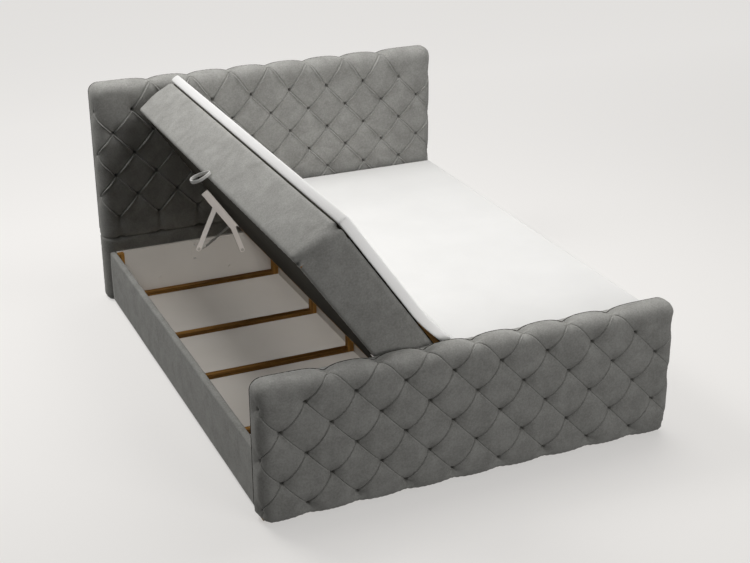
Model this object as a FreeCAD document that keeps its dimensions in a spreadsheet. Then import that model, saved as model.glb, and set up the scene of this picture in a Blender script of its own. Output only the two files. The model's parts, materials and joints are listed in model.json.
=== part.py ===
"""Box spring bed with two lift-up lids, a tufted headboard and a tufted footboard.

Millimetres. +X is to the right seen from the foot, +Y runs from foot to head, +Z is up.
The origin lies on the floor in the middle of the bed. Every paired piece is made on the left with
its lid closed. The left set is then opened and the right set is its mirror image, left closed.
"""
import FreeCAD
import Part
import Sketcher
import math
import os
import re

SIZES = {
    # boards at the head and the foot
    "board_overhang": 20.0,
    "headboard_height": 1049.0,
    "footboard_height": 551.0,
    "pad_depth": 45.0,
    "pad_edge_radius": 26.0,
    "edge_wrap": 16.0,
    "top_wrap": 42.0,
    "panel_thickness": 12.0,
    "head_frame_depth": 48.0,
    "foot_frame_depth": 52.0,
    "frame_rail": 60.0,
    "bottom_rail": 120.0,
    "cover_thickness": 4.0,
    "seam_height": 308.0,
    # diamond tufting
    "tuft_pitch": 192.1,
    "tuft_row": 101.2,
    "head_row_drop": 29.5,
    "foot_row_drop": 1.0,
    "tuft_depth": 30.0,
    "tuft_radius": 17.0,
    "tuft_floor": 3.0,
    "groove_width": 56.0,
    "groove_depth": 15.0,
    # floor glides
    "glide_height": 12.0,
    "glide_radius": 22.0,
    "glide_inset": 70.0,
    # storage box
    "box_half_width": 828.0,
    "box_height": 243.0,
    "side_board": 22.0,
    "side_cover": 3.0,
    "wall_thickness": 16.0,
    "centre_wall": 18.0,
    "floor_thickness": 6.0,
    "batten_depth": 28.0,
    "batten_height": 20.0,
    "post_width": 28.0,
    "side_post_drop": 70.0,
    "second_batten": 541.0,
    "third_batten": 980.0,
    "fourth_batten": 1490.0,
    "bolt_radius": 4.0,
    "bolt_head_radius": 8.0,
    "bolt_head_height": 5.0,
    "bolt_grip": 30.0,
    "bolt_height": 78.0,
    "inner_bolt_x": 250.0,
    "outer_bolt_x": 600.0,
    # lids
    "lid_length": 2000.0,
    "lid_thickness": 196.0,
    "lid_side_inset": 3.0,
    "lid_centre_gap": 16.0,
    "lid_foot_gap": 8.0,
    "lid_head_gap": 27.0,
    "rest_clearance": 0.4,
    "lid_corner_radius": 30.0,
    "lid_inner_round": 45.0,
    "border_thickness": 4.0,
    "underside_thickness": 3.0,
    "lid_rail_height": 40.0,
    "lid_rail_width": 50.0,
    "slat_width": 70.0,
    "inner_board": 12.0,
    "foam_thickness": 34.0,
    "top_cover": 3.0,
    "coil_pocket_radius": 50.0,
    "coil_pocket_wall": 4.0,
    # pull loop
    "strap_width": 17.0,
    "strap_thickness": 2.5,
    "loop_radius": 34.0,
    "loop_length": 34.0,
    "strap_tab": 18.0,
    "strap_clearance": 4.0,
    "strap_place": 52.0,
    # topper
    "topper_thickness": 43.0,
    "topper_bend_radius": 120.0,
    "topper_edge_radius": 9.0,
    # lift fitting
    "lid_open_angle": 55.0,
    "pole_inset": 75.9,
    "pole_rise": 184.6,
    "short_pivot_inset": 61.5,
    "short_pivot_drop": 20.3,
    "short_base_reach": 286.6,
    "long_pivot_inset": 190.6,
    "long_pivot_drop": 27.2,
    "long_base_reach": 400.2,
    "arm_width": 24.0,
    "arm_thickness": 5.0,
    "pin_radius": 5.0,
    "pin_clearance": 0.05,
    "pin_head_radius": 8.0,
    "pin_head_height": 1.6,
    "layer_gap": 0.5,
    "bar_thickness": 3.0,
    "bar_height": 36.0,
    "bar_flange": 22.0,
    "bar_far_inset": 294.0,
    "bar_near_inset": 46.0,
    "plate_thickness": 3.0,
    "plate_margin": 26.0,
    "plate_screw_inset": 11.0,
    "screw_radius": 2.2,
    "screw_head_radius": 4.5,
    "screw_head_height": 1.8,
    "screw_length": 12.0,
    "spring_zone": 15.0,
    "spring_hook_offset": 30.0,
    "spring_wire_radius": 1.25,
    "spring_coil_radius": 5.5,
    "spring_end": 9.0,
    # one overrun for every cutting tool
    "overrun": 5.0,
}

PLACES = {
    # half widths from the middle of the bed
    "board_half": "box_half_width + board_overhang",
    "frame_half": "board_half - edge_wrap",
    "lid_half_width": "box_half_width - lid_side_inset",
    # stations along the bed, from the foot to the head
    "box_length": "lid_length + lid_foot_gap + lid_head_gap",
    "boards_depth": "2*(pad_depth + panel_thickness + cover_thickness) + head_frame_depth + foot_frame_depth",
    "foot_front_y": "-(box_length + boards_depth)/2",
    "foot_panel_y": "foot_front_y + pad_depth",
    "foot_frame_y": "foot_panel_y + panel_thickness",
    "foot_cover_y": "foot_frame_y + foot_frame_depth",
    "box_foot_y": "foot_cover_y + cover_thickness",
    "foot_wall_y": "box_foot_y + wall_thickness",
    "box_head_y": "box_foot_y + box_length",
    "head_wall_y": "box_head_y - wall_thickness",
    "head_panel_y": "box_head_y + pad_depth",
    "head_frame_y": "head_panel_y + panel_thickness",
    "head_cover_y": "head_frame_y + head_frame_depth",
    "head_back_y": "head_cover_y + cover_thickness",
    "box_mid_y": "(foot_wall_y + head_wall_y)/2",
    "lid_foot_y": "box_foot_y + lid_foot_gap",
    "lid_head_y": "lid_foot_y + lid_length",
    # heights
    "head_top_z": "glide_height + headboard_height",
    "foot_top_z": "glide_height + footboard_height",
    "seam_z": "glide_height + seam_height",
    "floor_top_z": "glide_height + floor_thickness",
    "box_top_z": "glide_height + box_height",
    "lid_bottom_z": "box_top_z + rest_clearance",
    "lid_frame_z": "lid_bottom_z + underside_thickness",
    "core_z": "lid_frame_z + lid_rail_height",
    "lid_top_z": "lid_bottom_z + lid_thickness",
    "foam_top_z": "lid_top_z - top_cover",
    "foam_z": "foam_top_z - foam_thickness",
    "topper_top_z": "lid_top_z + topper_thickness",
    # across the bed
    "side_inner": "box_half_width - side_board - 2*side_cover",
    "board_outer": "box_half_width - side_cover",
    "board_inner": "board_outer - side_board",
    "centre_half": "centre_wall/2",
    "core_outer": "lid_half_width - border_thickness",
    "core_inner": "lid_centre_gap + inner_board",
    "roll_edge": "lid_centre_gap + lid_inner_round",
    # lift fitting
    "pole_z": "lid_bottom_z + pole_rise",
    "half_open": "lid_open_angle/2",
    "short_pole_arm": "hypot(pole_inset - short_pivot_inset; pole_rise + short_pivot_drop)",
    "long_pole_arm": "hypot(long_pivot_inset - pole_inset; pole_rise + long_pivot_drop)",
    "short_arm_length": "sqrt(short_pole_arm^2 + short_base_reach^2"
                        " - 2*short_pole_arm*short_base_reach*cos(half_open))",
    "long_arm_length": "sqrt(long_pole_arm^2 + long_base_reach^2"
                       " - 2*long_pole_arm*long_base_reach*cos(half_open))",
    "plate_face_y": "head_wall_y - plate_thickness",
    "long_arm_y": "plate_face_y - spring_zone",
    "short_arm_y": "long_arm_y - arm_thickness - layer_gap",
    "bar_y": "short_arm_y - arm_thickness - layer_gap",
    "bend_shift": "tan(half_open)*(topper_bend_radius + lid_top_z - pole_z)",
    "fold_edge": "pole_inset + bend_shift",
}

# tufts in each row, from the top row down
HEAD_ROWS = (7, 8, 9, 8, 9, 8, 9)
FOOT_ROWS = (7, 8, 9, 8, 9, 8)
COIL_COLUMNS = 7
COIL_ROWS = 18
SPRING_TURNS = 20
SPRING_STEPS = 24
WIRE_SIDES = 8
SLATS = 5
# two coordinates closer than this are one place
SAME_PLACE = 1e-4

doc = FreeCAD.newDocument("BoxSpringBed")
nodes = []


def make_sheet(name, cells, formula):
    """Put one value or one formula in each row, with its name as the alias."""
    sheet = doc.addObject("Spreadsheet::Sheet", name)
    for row, (alias, content) in enumerate(cells.items(), start=1):
        sheet.set(f"A{row}", alias)
        sheet.set(f"B{row}", "=" + qualified(content) if formula else str(content))
        sheet.setAlias(f"B{row}", alias)
    doc.recompute()
    return sheet


def qualified(expression):
    """Write each size or place in an expression with the name of its sheet."""
    def with_sheet(match):
        word = match.group(0)
        if word in SIZES:
            return "Sizes." + word
        return "Places." + word if word in PLACES else word
    return re.sub(r"[a-z_]+", with_sheet, expression)


sizes = make_sheet("Sizes", SIZES, False)
places = make_sheet("Places", PLACES, True)


def value(name):
    """The number that a size or a place holds now."""
    return float(getattr(sizes if name in SIZES else places, name))


def bind(obj, **expressions):
    for prop, expression in expressions.items():
        obj.setExpression(prop.replace("__", "."), qualified(expression))
    return obj


def set_base(obj, x, y, z):
    return bind(obj, Placement__Base__x=x, Placement__Base__y=y, Placement__Base__z=z)


def node(label, obj):
    """Give a finished piece the label that names its file."""
    obj.Label = label
    nodes.append(obj)
    return obj


def box(x, y, z):
    """A block between two expressions on each axis."""
    obj = doc.addObject("Part::Box", "Block")
    bind(obj, Length=f"({x[1]}) - ({x[0]})", Width=f"({y[1]}) - ({y[0]})", Height=f"({z[1]}) - ({z[0]})")
    return set_base(obj, x[0], y[0], z[0])


def rod(radius, x, y, z):
    """A cylinder along Y between two expressions."""
    obj = doc.addObject("Part::Cylinder", "Rod")
    bind(obj, Radius=radius, Height=f"({y[1]}) - ({y[0]})")
    obj.Placement.Rotation = FreeCAD.Rotation(FreeCAD.Vector(1, 0, 0), -90)
    return set_base(obj, x, y[0], z)


def post(radius, x, y, z):
    """An upright cylinder between two expressions."""
    obj = doc.addObject("Part::Cylinder", "Post")
    bind(obj, Radius=radius, Height=f"({z[1]}) - ({z[0]})")
    return set_base(obj, x, y, z[0])


def group(*objs):
    obj = doc.addObject("Part::Compound", "Group")
    obj.Links = list(objs)
    return obj


def fuse(*objs):
    obj = doc.addObject("Part::MultiFuse", "Fused")
    obj.Shapes = list(objs)
    return obj


def cut(base, *tools):
    obj = doc.addObject("Part::Cut", "Cut")
    obj.Base = base
    obj.Tool = tools[0] if len(tools) == 1 else group(*tools)
    return obj


def mirror(source, axis, at=0.0):
    obj = doc.addObject("Part::Mirroring", "Mirrored")
    obj.Source = source
    obj.Normal = axis
    obj.Base = FreeCAD.Vector(axis.x * at, axis.y * at, axis.z * at)
    return obj


ACROSS = FreeCAD.Vector(1, 0, 0)
ALONG = FreeCAD.Vector(0, 1, 0)


def mirror_across(source):
    return mirror(source, ACROSS)


def with_foot_copy(source):
    """A piece at the head end and its mirror image at the foot end."""
    doc.recompute()
    return group(source, mirror(source, ALONG, value("box_mid_y")))


def round_edges(source, radius, wanted):
    """Round the straight edges whose two ends both satisfy a test."""
    doc.recompute()
    obj = doc.addObject("Part::Fillet", "Rounded")
    obj.Base = source
    edges = source.Shape.Edges
    chosen = [i for i, edge in enumerate(edges, start=1) if all(wanted(v.Point) for v in edge.Vertexes)]
    obj.Edges = [(i, radius, radius) for i in chosen]
    return obj


def near(first, second):
    return abs(first - second) < SAME_PLACE


def feature(shape):
    obj = doc.addObject("Part::Feature", "Form")
    obj.Shape = shape
    return obj


def turned(source, angle, x, z):
    """A copy of a piece turned about an axis along Y."""
    obj = group(source)
    obj.Placement = turn(angle, x, z)
    return obj


def turn(angle, x, z):
    return FreeCAD.Placement(FreeCAD.Vector(), FreeCAD.Rotation(ALONG, angle), FreeCAD.Vector(x, 0, z))


def pair(name, source, angle=0.0, x=0.0, z=0.0):
    """The left piece, turned to where it stands when its lid is open, and the right one, closed."""
    node("left_" + name, turned(source, angle, x, z) if angle else group(source))
    node("right_" + name, mirror_across(source))


# Tufted pads of the headboard and the footboard


def tuft_points(rows, top_z, row_drop):
    """Each tuft by its row and its place in half pitches from the middle."""
    points = {}
    for row, count in enumerate(rows):
        z = top_z - row_drop - row * value("tuft_row")
        for column in range(1 - count, count, 2):
            points[(row, column)] = (column * value("tuft_pitch") / 2, z)
    return points


def groove(start, end, front):
    """A V-shaped channel between two points of the pad's face."""
    (x0, z0), (x1, z1) = start, end
    length = math.hypot(x1 - x0, z1 - z0)
    over = value("overrun")
    half = value("groove_width") / 2 * (1 + over / value("groove_depth"))
    side_x, side_z = (z0 - z1) / length * half, (x1 - x0) / length * half
    corners = [
        FreeCAD.Vector(x0 + side_x, front - over, z0 + side_z),
        FreeCAD.Vector(x0 - side_x, front - over, z0 - side_z),
        FreeCAD.Vector(x0, front + value("groove_depth"), z0),
    ]
    face = Part.Face(Part.makePolygon(corners + corners[:1]))
    return face.extrude(FreeCAD.Vector(x1 - x0, 0, z1 - z0))


def dimple(point, front):
    """The drawn-in hollow of one tuft."""
    over = value("overrun")
    depth = value("tuft_depth")
    mouth = value("tuft_radius") * (1 + over / depth)
    start = FreeCAD.Vector(point[0], front - over, point[1])
    return Part.makeCone(mouth, value("tuft_floor"), depth + over, start, ALONG)


def pleat_lines(points, rows, bottom_z, top_z, half_width):
    """The diagonals from tuft to tuft and the short pleats from the outer tufts to the edges."""
    last = len(rows) - 1
    over = value("overrun")
    for lean in (1, -1):
        lines = {}
        for row, column in sorted(points):
            lines.setdefault(column - lean * row, []).append((row, column))
        for line in lines.values():
            if len(line) > 1:
                yield points[line[0]], points[line[-1]]
    for (row, column), (x, z) in points.items():
        if row == 0:
            yield (x, z), (x, top_z + over)
        if row == last:
            yield (x, z), (x, bottom_z - over)
        if rows[row] == max(rows) and abs(column) == rows[row] - 1:
            yield (x, z), (math.copysign(half_width + over, x), z)


def frame_recess(front, back, bottom_z, top_z):
    """The room behind a pad for the panel and the frame, which the padding wraps at the edges."""
    half, start = value("frame_half"), front + value("pad_depth")
    corner = FreeCAD.Vector(-half, start, bottom_z)
    return Part.makeBox(2 * half, back - start, top_z - bottom_z, corner)


def tufted_pad(rows, front, back, bottom_z, top_z, row_drop):
    half = value("board_half")
    corner = FreeCAD.Vector(-half, front, bottom_z)
    slab = Part.makeBox(2 * half, back - front, top_z - bottom_z, corner)
    rim = [e for e in slab.Edges if all(near(v.Point.y, front) for v in e.Vertexes)]
    slab = slab.makeFillet(value("pad_edge_radius"), rim)
    slab = slab.cut(frame_recess(front, back, bottom_z, top_z - value("top_wrap")))
    points = tuft_points(rows, top_z, row_drop)
    tools = [groove(a, b, front) for a, b in pleat_lines(points, rows, bottom_z, top_z, half)]
    tools += [dimple(point, front) for point in points.values()]
    return feature(slab.cut(tools).Solids[0])


def board_frame(y, top_z):
    """Rails and uprights of a board's timber frame, as separate sticks."""
    half, rail, low = "frame_half", "frame_rail", "glide_height"
    top = top_z + " - top_wrap"
    rails = [(low, low + " + bottom_rail"), (f"{top} - {rail}", top)]
    sticks = [box(("-" + half, half), y, z) for z in rails]
    uprights = [(f"-{half}", f"-{half} + {rail}"), (f"-{rail}/2", f"{rail}/2"), (f"{half} - {rail}", half)]
    sticks += [box(x, y, (rails[0][1], rails[1][0])) for x in uprights]
    return sticks


# Headboard, footboard and the bolts that hold the box between them

BOLT_XS = ("-outer_bolt_x", "-inner_bolt_x", "inner_bolt_x", "outer_bolt_x")
full_width = ("-board_half", "board_half")
panel_width = ("-frame_half", "frame_half")
bolt_z = "glide_height + bolt_height"
head_bolt_end = "head_frame_y + bolt_grip"
foot_bolt_end = "foot_cover_y - bolt_grip"


def bolt(x, start, seat, end, outward):
    """A bolt with its head on a wall's inner face."""
    head_end = f"{seat} + {outward}*bolt_head_height"
    head_span = (seat, head_end) if outward > 0 else (head_end, seat)
    return fuse(rod("bolt_radius", x, (start, end), bolt_z), rod("bolt_head_radius", x, head_span, bolt_z))


def bolt_holes(start, end):
    return [rod("bolt_radius", x, (start, end), bolt_z) for x in BOLT_XS]


def make_headboard():
    frame_y = ("head_frame_y", "head_cover_y")
    sticks = board_frame(frame_y, "head_top_z")
    sticks[0] = cut(sticks[0], *bolt_holes("head_frame_y", head_bolt_end))
    node("headboard_frame", group(*sticks))
    panel_z = ("glide_height", "head_top_z - top_wrap")
    panel = box(panel_width, ("head_panel_y", "head_frame_y"), panel_z)
    node("headboard_panel", cut(panel, *bolt_holes("head_panel_y", "head_frame_y")))
    cover_z = ("glide_height", "head_top_z")
    node("headboard_back_cover", box(full_width, ("head_cover_y", "head_back_y"), cover_z))
    front, back = value("box_head_y"), value("head_cover_y")
    pad = tufted_pad(HEAD_ROWS, front, back, value("seam_z"), value("head_top_z"), value("head_row_drop"))
    node("headboard_tufted_pad", pad)
    band = box(full_width, ("box_head_y", "head_cover_y"), ("glide_height", "seam_z"))
    half = value("board_half")
    band = round_edges(band, value("pad_edge_radius"), lambda p: near(p.y, front) and near(abs(p.x), half))
    recess = feature(frame_recess(front, back, value("glide_height"), value("seam_z")))
    node("headboard_lower_band", cut(band, recess, *bolt_holes("box_head_y", "head_panel_y")))


def make_footboard():
    sticks = board_frame(("foot_frame_y", "foot_cover_y"), "foot_top_z")
    sticks[0] = cut(sticks[0], *bolt_holes(foot_bolt_end, "foot_cover_y"))
    node("footboard_frame", group(*sticks))
    panel_z = ("glide_height", "foot_top_z - top_wrap")
    node("footboard_panel", box(panel_width, ("foot_panel_y", "foot_frame_y"), panel_z))
    inner = box(full_width, ("foot_cover_y", "box_foot_y"), ("glide_height", "foot_top_z"))
    node("footboard_inner_cover", cut(inner, *bolt_holes("foot_cover_y", "box_foot_y")))
    front, back = value("foot_front_y"), value("foot_cover_y")
    low, top = value("glide_height"), value("foot_top_z")
    node("footboard_tufted_pad", tufted_pad(FOOT_ROWS, front, back, low, top, value("foot_row_drop")))


def make_bolts():
    bolts = [bolt(x, "head_wall_y", "head_wall_y", head_bolt_end, -1) for x in BOLT_XS]
    bolts += [bolt(x, foot_bolt_end, "foot_wall_y", "foot_wall_y", 1) for x in BOLT_XS]
    node("bed_bolts", group(*bolts))


def make_glides():
    spots = []
    xs = ("-board_half + glide_inset", "-glide_inset", "glide_inset", "board_half - glide_inset")
    ys = ("foot_frame_y + foot_frame_depth/2", "head_frame_y + head_frame_depth/2")
    for y in ys:
        spots += [post("glide_radius", x, y, ("0", "glide_height")) for x in xs]
    node("glides", group(*spots))


# Storage boxes

box_span = ("box_foot_y", "box_head_y")
inside = ("foot_wall_y", "head_wall_y")


def lift_points():
    """Base pivots of the two arms on the left, and the angles at which the arms lie when closed."""
    pole = (-value("pole_inset"), value("pole_z"))
    found = {}
    for arm in ("short", "long"):
        pin = (-value(arm + "_pivot_inset"), value("lid_bottom_z") - value(arm + "_pivot_drop"))
        towards = math.atan2(pin[1] - pole[1], pin[0] - pole[0]) - math.radians(value("half_open"))
        reach = value(arm + "_base_reach")
        base = (pole[0] + reach * math.cos(towards), pole[1] + reach * math.sin(towards))
        closed = math.atan2(pin[1] - base[1], pin[0] - base[0])
        raised = turn(value("lid_open_angle"), *pole).multVec(FreeCAD.Vector(pin[0], 0, pin[1]))
        opened = math.atan2(raised.z - base[1], raised.x - base[0])
        found[arm] = {"base": base, "pin": pin, "raised": (raised.x, raised.z),
                      "closed": math.degrees(closed), "swing": math.degrees(opened - closed)}
    return found


LIFT = lift_points()


def plate_corners():
    """The wall plate reaches past both base pivots by one margin."""
    margin = value("plate_margin")
    xs = [LIFT[arm]["base"][0] for arm in LIFT]
    zs = [LIFT[arm]["base"][1] for arm in LIFT]
    return min(xs) - margin, max(xs) + margin, min(zs) - margin, max(zs) + margin


def plate_screw_spots():
    x0, x1, z0, z1 = plate_corners()
    inset = value("plate_screw_inset")
    return [(x0 + inset, z0 + inset), (x1 - inset, z0 + inset), (x0 + inset, z1 - inset)]


def y_rod(radius, spot, y0, y1):
    """A plain cylinder along Y at a spot worked out from the linkage."""
    return Part.makeCylinder(radius, y1 - y0, FreeCAD.Vector(spot[0], y0, spot[1]), ALONG)


def make_walls():
    wall_x = ("-side_inner", "side_inner")
    height = ("glide_height", "box_top_z")
    wall = value("head_wall_y")
    end = wall + value("screw_length") - value("plate_thickness")
    pilots = [y_rod(value("screw_radius"), spot, wall, end) for spot in plate_screw_spots()]
    pilot = feature(Part.Compound(pilots))
    both = group(pilot, mirror_across(pilot))
    head = cut(box(wall_x, ("head_wall_y", "box_head_y"), height), both)
    node("head_wall", cut(head, *bolt_holes("head_wall_y", "box_head_y")))
    foot = cut(box(wall_x, ("box_foot_y", "foot_wall_y"), height), mirror(both, ALONG, value("box_mid_y")))
    node("foot_wall", cut(foot, *bolt_holes("box_foot_y", "foot_wall_y")))
    node("centre_wall", box(("-centre_half", "centre_half"), inside, height))


def make_side():
    outer = box(("-box_half_width", "-side_inner"), box_span, ("glide_height", "box_top_z"))
    core_x = ("-board_outer", "-board_inner")
    board = box(core_x, box_span, ("glide_height", "box_top_z - side_cover"))
    pair("side_board", board)
    pair("side_cover", cut(outer, board))
    pair("floor", box(("-side_inner", "-centre_half"), inside, ("glide_height", "floor_top_z")))


def make_battens():
    """Floor battens, and the posts that stand against the side and the centre where a batten ends."""
    fronts = ["head_wall_y - batten_depth"]
    fronts += ["head_wall_y - " + gap for gap in ("second_batten", "third_batten", "fourth_batten")]
    fronts.append("foot_wall_y")
    top = "floor_top_z + batten_height"
    centre_x = ("-centre_half - post_width", "-centre_half")
    side_x = ("-side_inner", "-side_inner + post_width")
    battens, centre, side = [], [], []
    for front in fronts:
        depth = (front, front + " + batten_depth")
        at_corner = front in (fronts[0], fronts[-1])
        side_top = "box_top_z" if at_corner else "box_top_z - side_post_drop"
        battens.append(box((side_x[1], centre_x[0]), depth, ("floor_top_z", top)))
        centre.append(box(centre_x, depth, ("floor_top_z", "box_top_z")))
        side.append(box(side_x, depth, ("floor_top_z", side_top)))
    pair("floor_battens", group(*battens))
    pair("centre_posts", group(*centre))
    pair("side_posts", group(*side))


# Lids, made closed on the left

lid_span = ("lid_foot_y", "lid_head_y")
core_span = ("lid_foot_y + border_thickness", "lid_head_y - border_thickness")
lid_turn = {"angle": value("lid_open_angle"), "x": -value("pole_inset"), "z": value("pole_z")}


def upright_corner(block, edge, radius):
    """Round only the upright edges of a block on one side."""
    doc.recompute()
    edges = enumerate(block.Shape.Edges, start=1)
    chosen = [i for i, e in edges if all(near(v.Point.x, edge) for v in e.Vertexes)
              and near(e.Vertexes[0].Point.y, e.Vertexes[1].Point.y)]
    obj = doc.addObject("Part::Fillet", "Rounded")
    obj.Base = block
    obj.Edges = [(i, radius, radius) for i in chosen]
    return obj


def lid_plan(inset, z):
    """The lid's plan between two heights, inset from its three covered sides."""
    x = (f"-lid_half_width + {inset}", "-core_inner")
    block = box(x, (f"lid_foot_y + {inset}", f"lid_head_y - {inset}"), z)
    depth = value(inset) if inset in SIZES else 0.0
    return upright_corner(block, depth - value("lid_half_width"), value("lid_corner_radius") - depth)


def make_lid():
    shell_z = ("lid_bottom_z", "lid_top_z")
    outer = lid_plan("0", shell_z)
    hollow = lid_plan("border_thickness", shell_z)
    pair("lid_border", cut(outer, hollow), **lid_turn)
    pair("lid_underside", lid_plan("border_thickness", ("lid_bottom_z", "lid_frame_z")), **lid_turn)
    inner_z = ("lid_bottom_z", "lid_top_z - lid_inner_round")
    pair("lid_inner_board", box(("-core_inner", "-lid_centre_gap"), lid_span, inner_z), **lid_turn)
    make_lid_frame()
    make_coils()
    foam = lid_plan("border_thickness", ("foam_z", "foam_top_z"))
    foam = cut(foam, box(("-roll_edge", "-lid_centre_gap"), lid_span, ("foam_z", "foam_top_z")))
    pair("lid_foam", foam, **lid_turn)
    cover = cut(lid_plan("border_thickness", ("foam_top_z", "lid_top_z")),
                box(("-roll_edge", "-lid_centre_gap"), lid_span, ("foam_top_z", "lid_top_z")))
    pair("lid_top_cover", cover, **lid_turn)
    pair("lid_inner_roll", inner_roll(), **lid_turn)


def inner_roll():
    """The quarter-round foam roll along the lid's inner top edge."""
    roll = doc.addObject("Part::Cylinder", "Roll")
    roll.Angle = 90
    bind(roll, Radius="lid_inner_round", Height="lid_length - 2*border_thickness")
    roll.Placement.Rotation = FreeCAD.Rotation(ACROSS, 90)
    return set_base(roll, "-roll_edge", core_span[1], "lid_top_z - lid_inner_round")


def make_lid_frame():
    z = ("lid_frame_z", "core_z")
    corner = "lid_corner_radius"
    outer_x = ("-core_outer", "-core_outer + lid_rail_width")
    inner_x = ("-core_inner - lid_rail_width", "-core_inner")
    long_y = (f"{core_span[0]} + {corner}", f"{core_span[1]} - {corner}")
    end_x = (f"-core_outer + {corner}", "-core_inner")
    rails = [box(x, (f"{long_y[0]} + lid_rail_width", f"{long_y[1]} - lid_rail_width"), z)
             for x in (outer_x, inner_x)]
    rails.append(box(end_x, (core_span[0], f"{long_y[0]} + lid_rail_width"), z))
    rails.append(box(end_x, (f"{long_y[1]} - lid_rail_width", core_span[1]), z))
    between = (outer_x[1], inner_x[0])
    for number in range(1, SLATS + 1):
        middle = f"lid_foot_y + lid_length*{number}/{SLATS + 1}"
        rails.append(box(between, (f"{middle} - slat_width/2", f"{middle} + slat_width/2"), z))
    pair("lid_frame", group(*rails), **lid_turn)


def make_coils():
    """Fabric sleeves of the pocket coils, in an even grid between the frame and the foam."""
    sleeves, bores = [], []
    first_x, last_x = "core_outer - lid_corner_radius", "roll_edge"
    for column in range(COIL_COLUMNS):
        share = (2 * column + 1) / (2 * COIL_COLUMNS)
        x = f"-({first_x}) + ({first_x} - ({last_x}))*{share}"
        for row in range(COIL_ROWS):
            y = f"lid_foot_y + lid_length*{(2 * row + 1) / (2 * COIL_ROWS)}"
            sleeves.append(post("coil_pocket_radius", x, y, ("core_z", "foam_z")))
            bores.append(post("coil_pocket_radius - coil_pocket_wall", x, y, ("core_z", "foam_z")))
    pair("lid_pocket_coils", cut(group(*sleeves), group(*bores)), **lid_turn)


def make_strap():
    """A loop of webbing that hangs beside the box from the lid's lower outer edge."""
    mid = value("lid_foot_y") + value("lid_length") / 2 - value("strap_place")
    face = -value("lid_half_width")
    width, thick = value("strap_width"), value("strap_thickness")
    outer = value("loop_radius")
    near_x = face - value("strap_clearance")
    seam = value("lid_bottom_z")
    low = seam - value("loop_length")
    centre = FreeCAD.Vector(near_x - width, mid, low)
    legs = []
    for y in (mid - outer, mid + outer - thick):
        corner = FreeCAD.Vector(near_x - width, y, low)
        legs.append(Part.makeBox(width, thick, seam - low, corner))
        tab = FreeCAD.Vector(near_x - width, y, seam)
        legs.append(Part.makeBox(face - near_x + width, thick, value("strap_tab"), tab))
    loop = half_ring(centre, outer, thick, width).multiFuse(legs).removeSplitter()
    pair("pull_loop", feature(loop), **lid_turn)


def half_ring(centre, outer, thick, width):
    """The lower half of a flat band bent round to a half circle."""
    ring = Part.makeCylinder(outer, width, centre, ACROSS)
    ring = ring.cut(Part.makeCylinder(outer - thick, width, centre, ACROSS))
    upper = Part.makeBox(width, 2 * outer, outer, centre + FreeCAD.Vector(0, -outer, 0))
    return ring.cut(upper)


# Topper


def make_topper():
    """The flat stretch over each lid, and the stretch between that bends as a lid is raised."""
    z = ("lid_top_z", "topper_top_z")
    flat = box(("-lid_half_width", "-fold_edge - rest_clearance"), lid_span, z)
    outer = -value("lid_half_width")
    flat = round_edges(flat, value("topper_edge_radius"), lambda p: near(p.x, outer))
    pair("topper", flat, **lid_turn)
    node("left_topper_fold", feature(bent_topper()))
    fold_z = ("lid_top_z + rest_clearance", "topper_top_z")
    node("right_topper_fold", box(("rest_clearance", "fold_edge"), lid_span, fold_z))


def bent_topper():
    """The bent stretch on the left: level at the middle, then an arc up to the raised lid."""
    clear = value("rest_clearance")
    under, bend = value("lid_top_z") + clear, value("topper_bend_radius") - clear
    thick = value("topper_thickness") - clear
    angle = math.radians(value("lid_open_angle"))
    centre_x = value("bend_shift") - value("pole_inset")
    centre_z = under + bend

    def on_arc(radius, turned_by):
        x = centre_x - radius * math.sin(turned_by)
        return FreeCAD.Vector(x, value("lid_foot_y"), centre_z - radius * math.cos(turned_by))

    inner = bend - thick
    level = FreeCAD.Vector(0, value("lid_foot_y"), under)
    lift = FreeCAD.Vector(0, 0, thick)
    lower = Part.Arc(on_arc(bend, 0), on_arc(bend, angle / 2), on_arc(bend, angle))
    upper = Part.Arc(on_arc(inner, angle), on_arc(inner, angle / 2), on_arc(inner, 0))
    edges = [
        Part.LineSegment(level, on_arc(bend, 0)).toShape(),
        lower.toShape(),
        Part.LineSegment(on_arc(bend, angle), on_arc(inner, angle)).toShape(),
        upper.toShape(),
        Part.LineSegment(on_arc(inner, 0), level + lift).toShape(),
        Part.LineSegment(level + lift, level).toShape(),
    ]
    return Part.Face(Part.Wire(edges)).extrude(ALONG * value("lid_length"))


# Lift fittings, made closed at the head end on the left


def link_bar(arm):
    """A flat arm with round ends and two pivot holes, sketched along X from its base pivot."""
    body = doc.addObject("PartDesign::Body", arm + "_arm")
    sketch = body.newObject("Sketcher::SketchObject", arm + "_arm_outline")
    plane = [o for o in body.Origin.OriginFeatures if o.Role == "XZ_Plane"][0]
    sketch.AttachmentSupport = [(plane, "")]
    sketch.MapMode = "FlatFace"
    length, half = value(arm + "_arm_length"), value("arm_width") / 2
    hole = value("pin_radius") + value("pin_clearance")
    up = FreeCAD.Vector(0, 0, 1)
    far = FreeCAD.Vector(length, 0, 0)
    quarter = math.pi / 2
    sketch.addGeometry([
        Part.ArcOfCircle(Part.Circle(FreeCAD.Vector(), up, half), quarter, 3 * quarter),
        Part.ArcOfCircle(Part.Circle(far, up, half), -quarter, quarter),
        Part.LineSegment(FreeCAD.Vector(0, half, 0), FreeCAD.Vector(length, half, 0)),
        Part.LineSegment(FreeCAD.Vector(0, -half, 0), FreeCAD.Vector(length, -half, 0)),
        Part.Circle(FreeCAD.Vector(), up, hole),
        Part.Circle(far, up, hole),
    ])
    constrain_link(sketch, arm)
    pad = body.newObject("PartDesign::Pad", arm + "_arm_bar")
    pad.Profile = sketch
    bind(pad, Length="arm_thickness")
    return body


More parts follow.
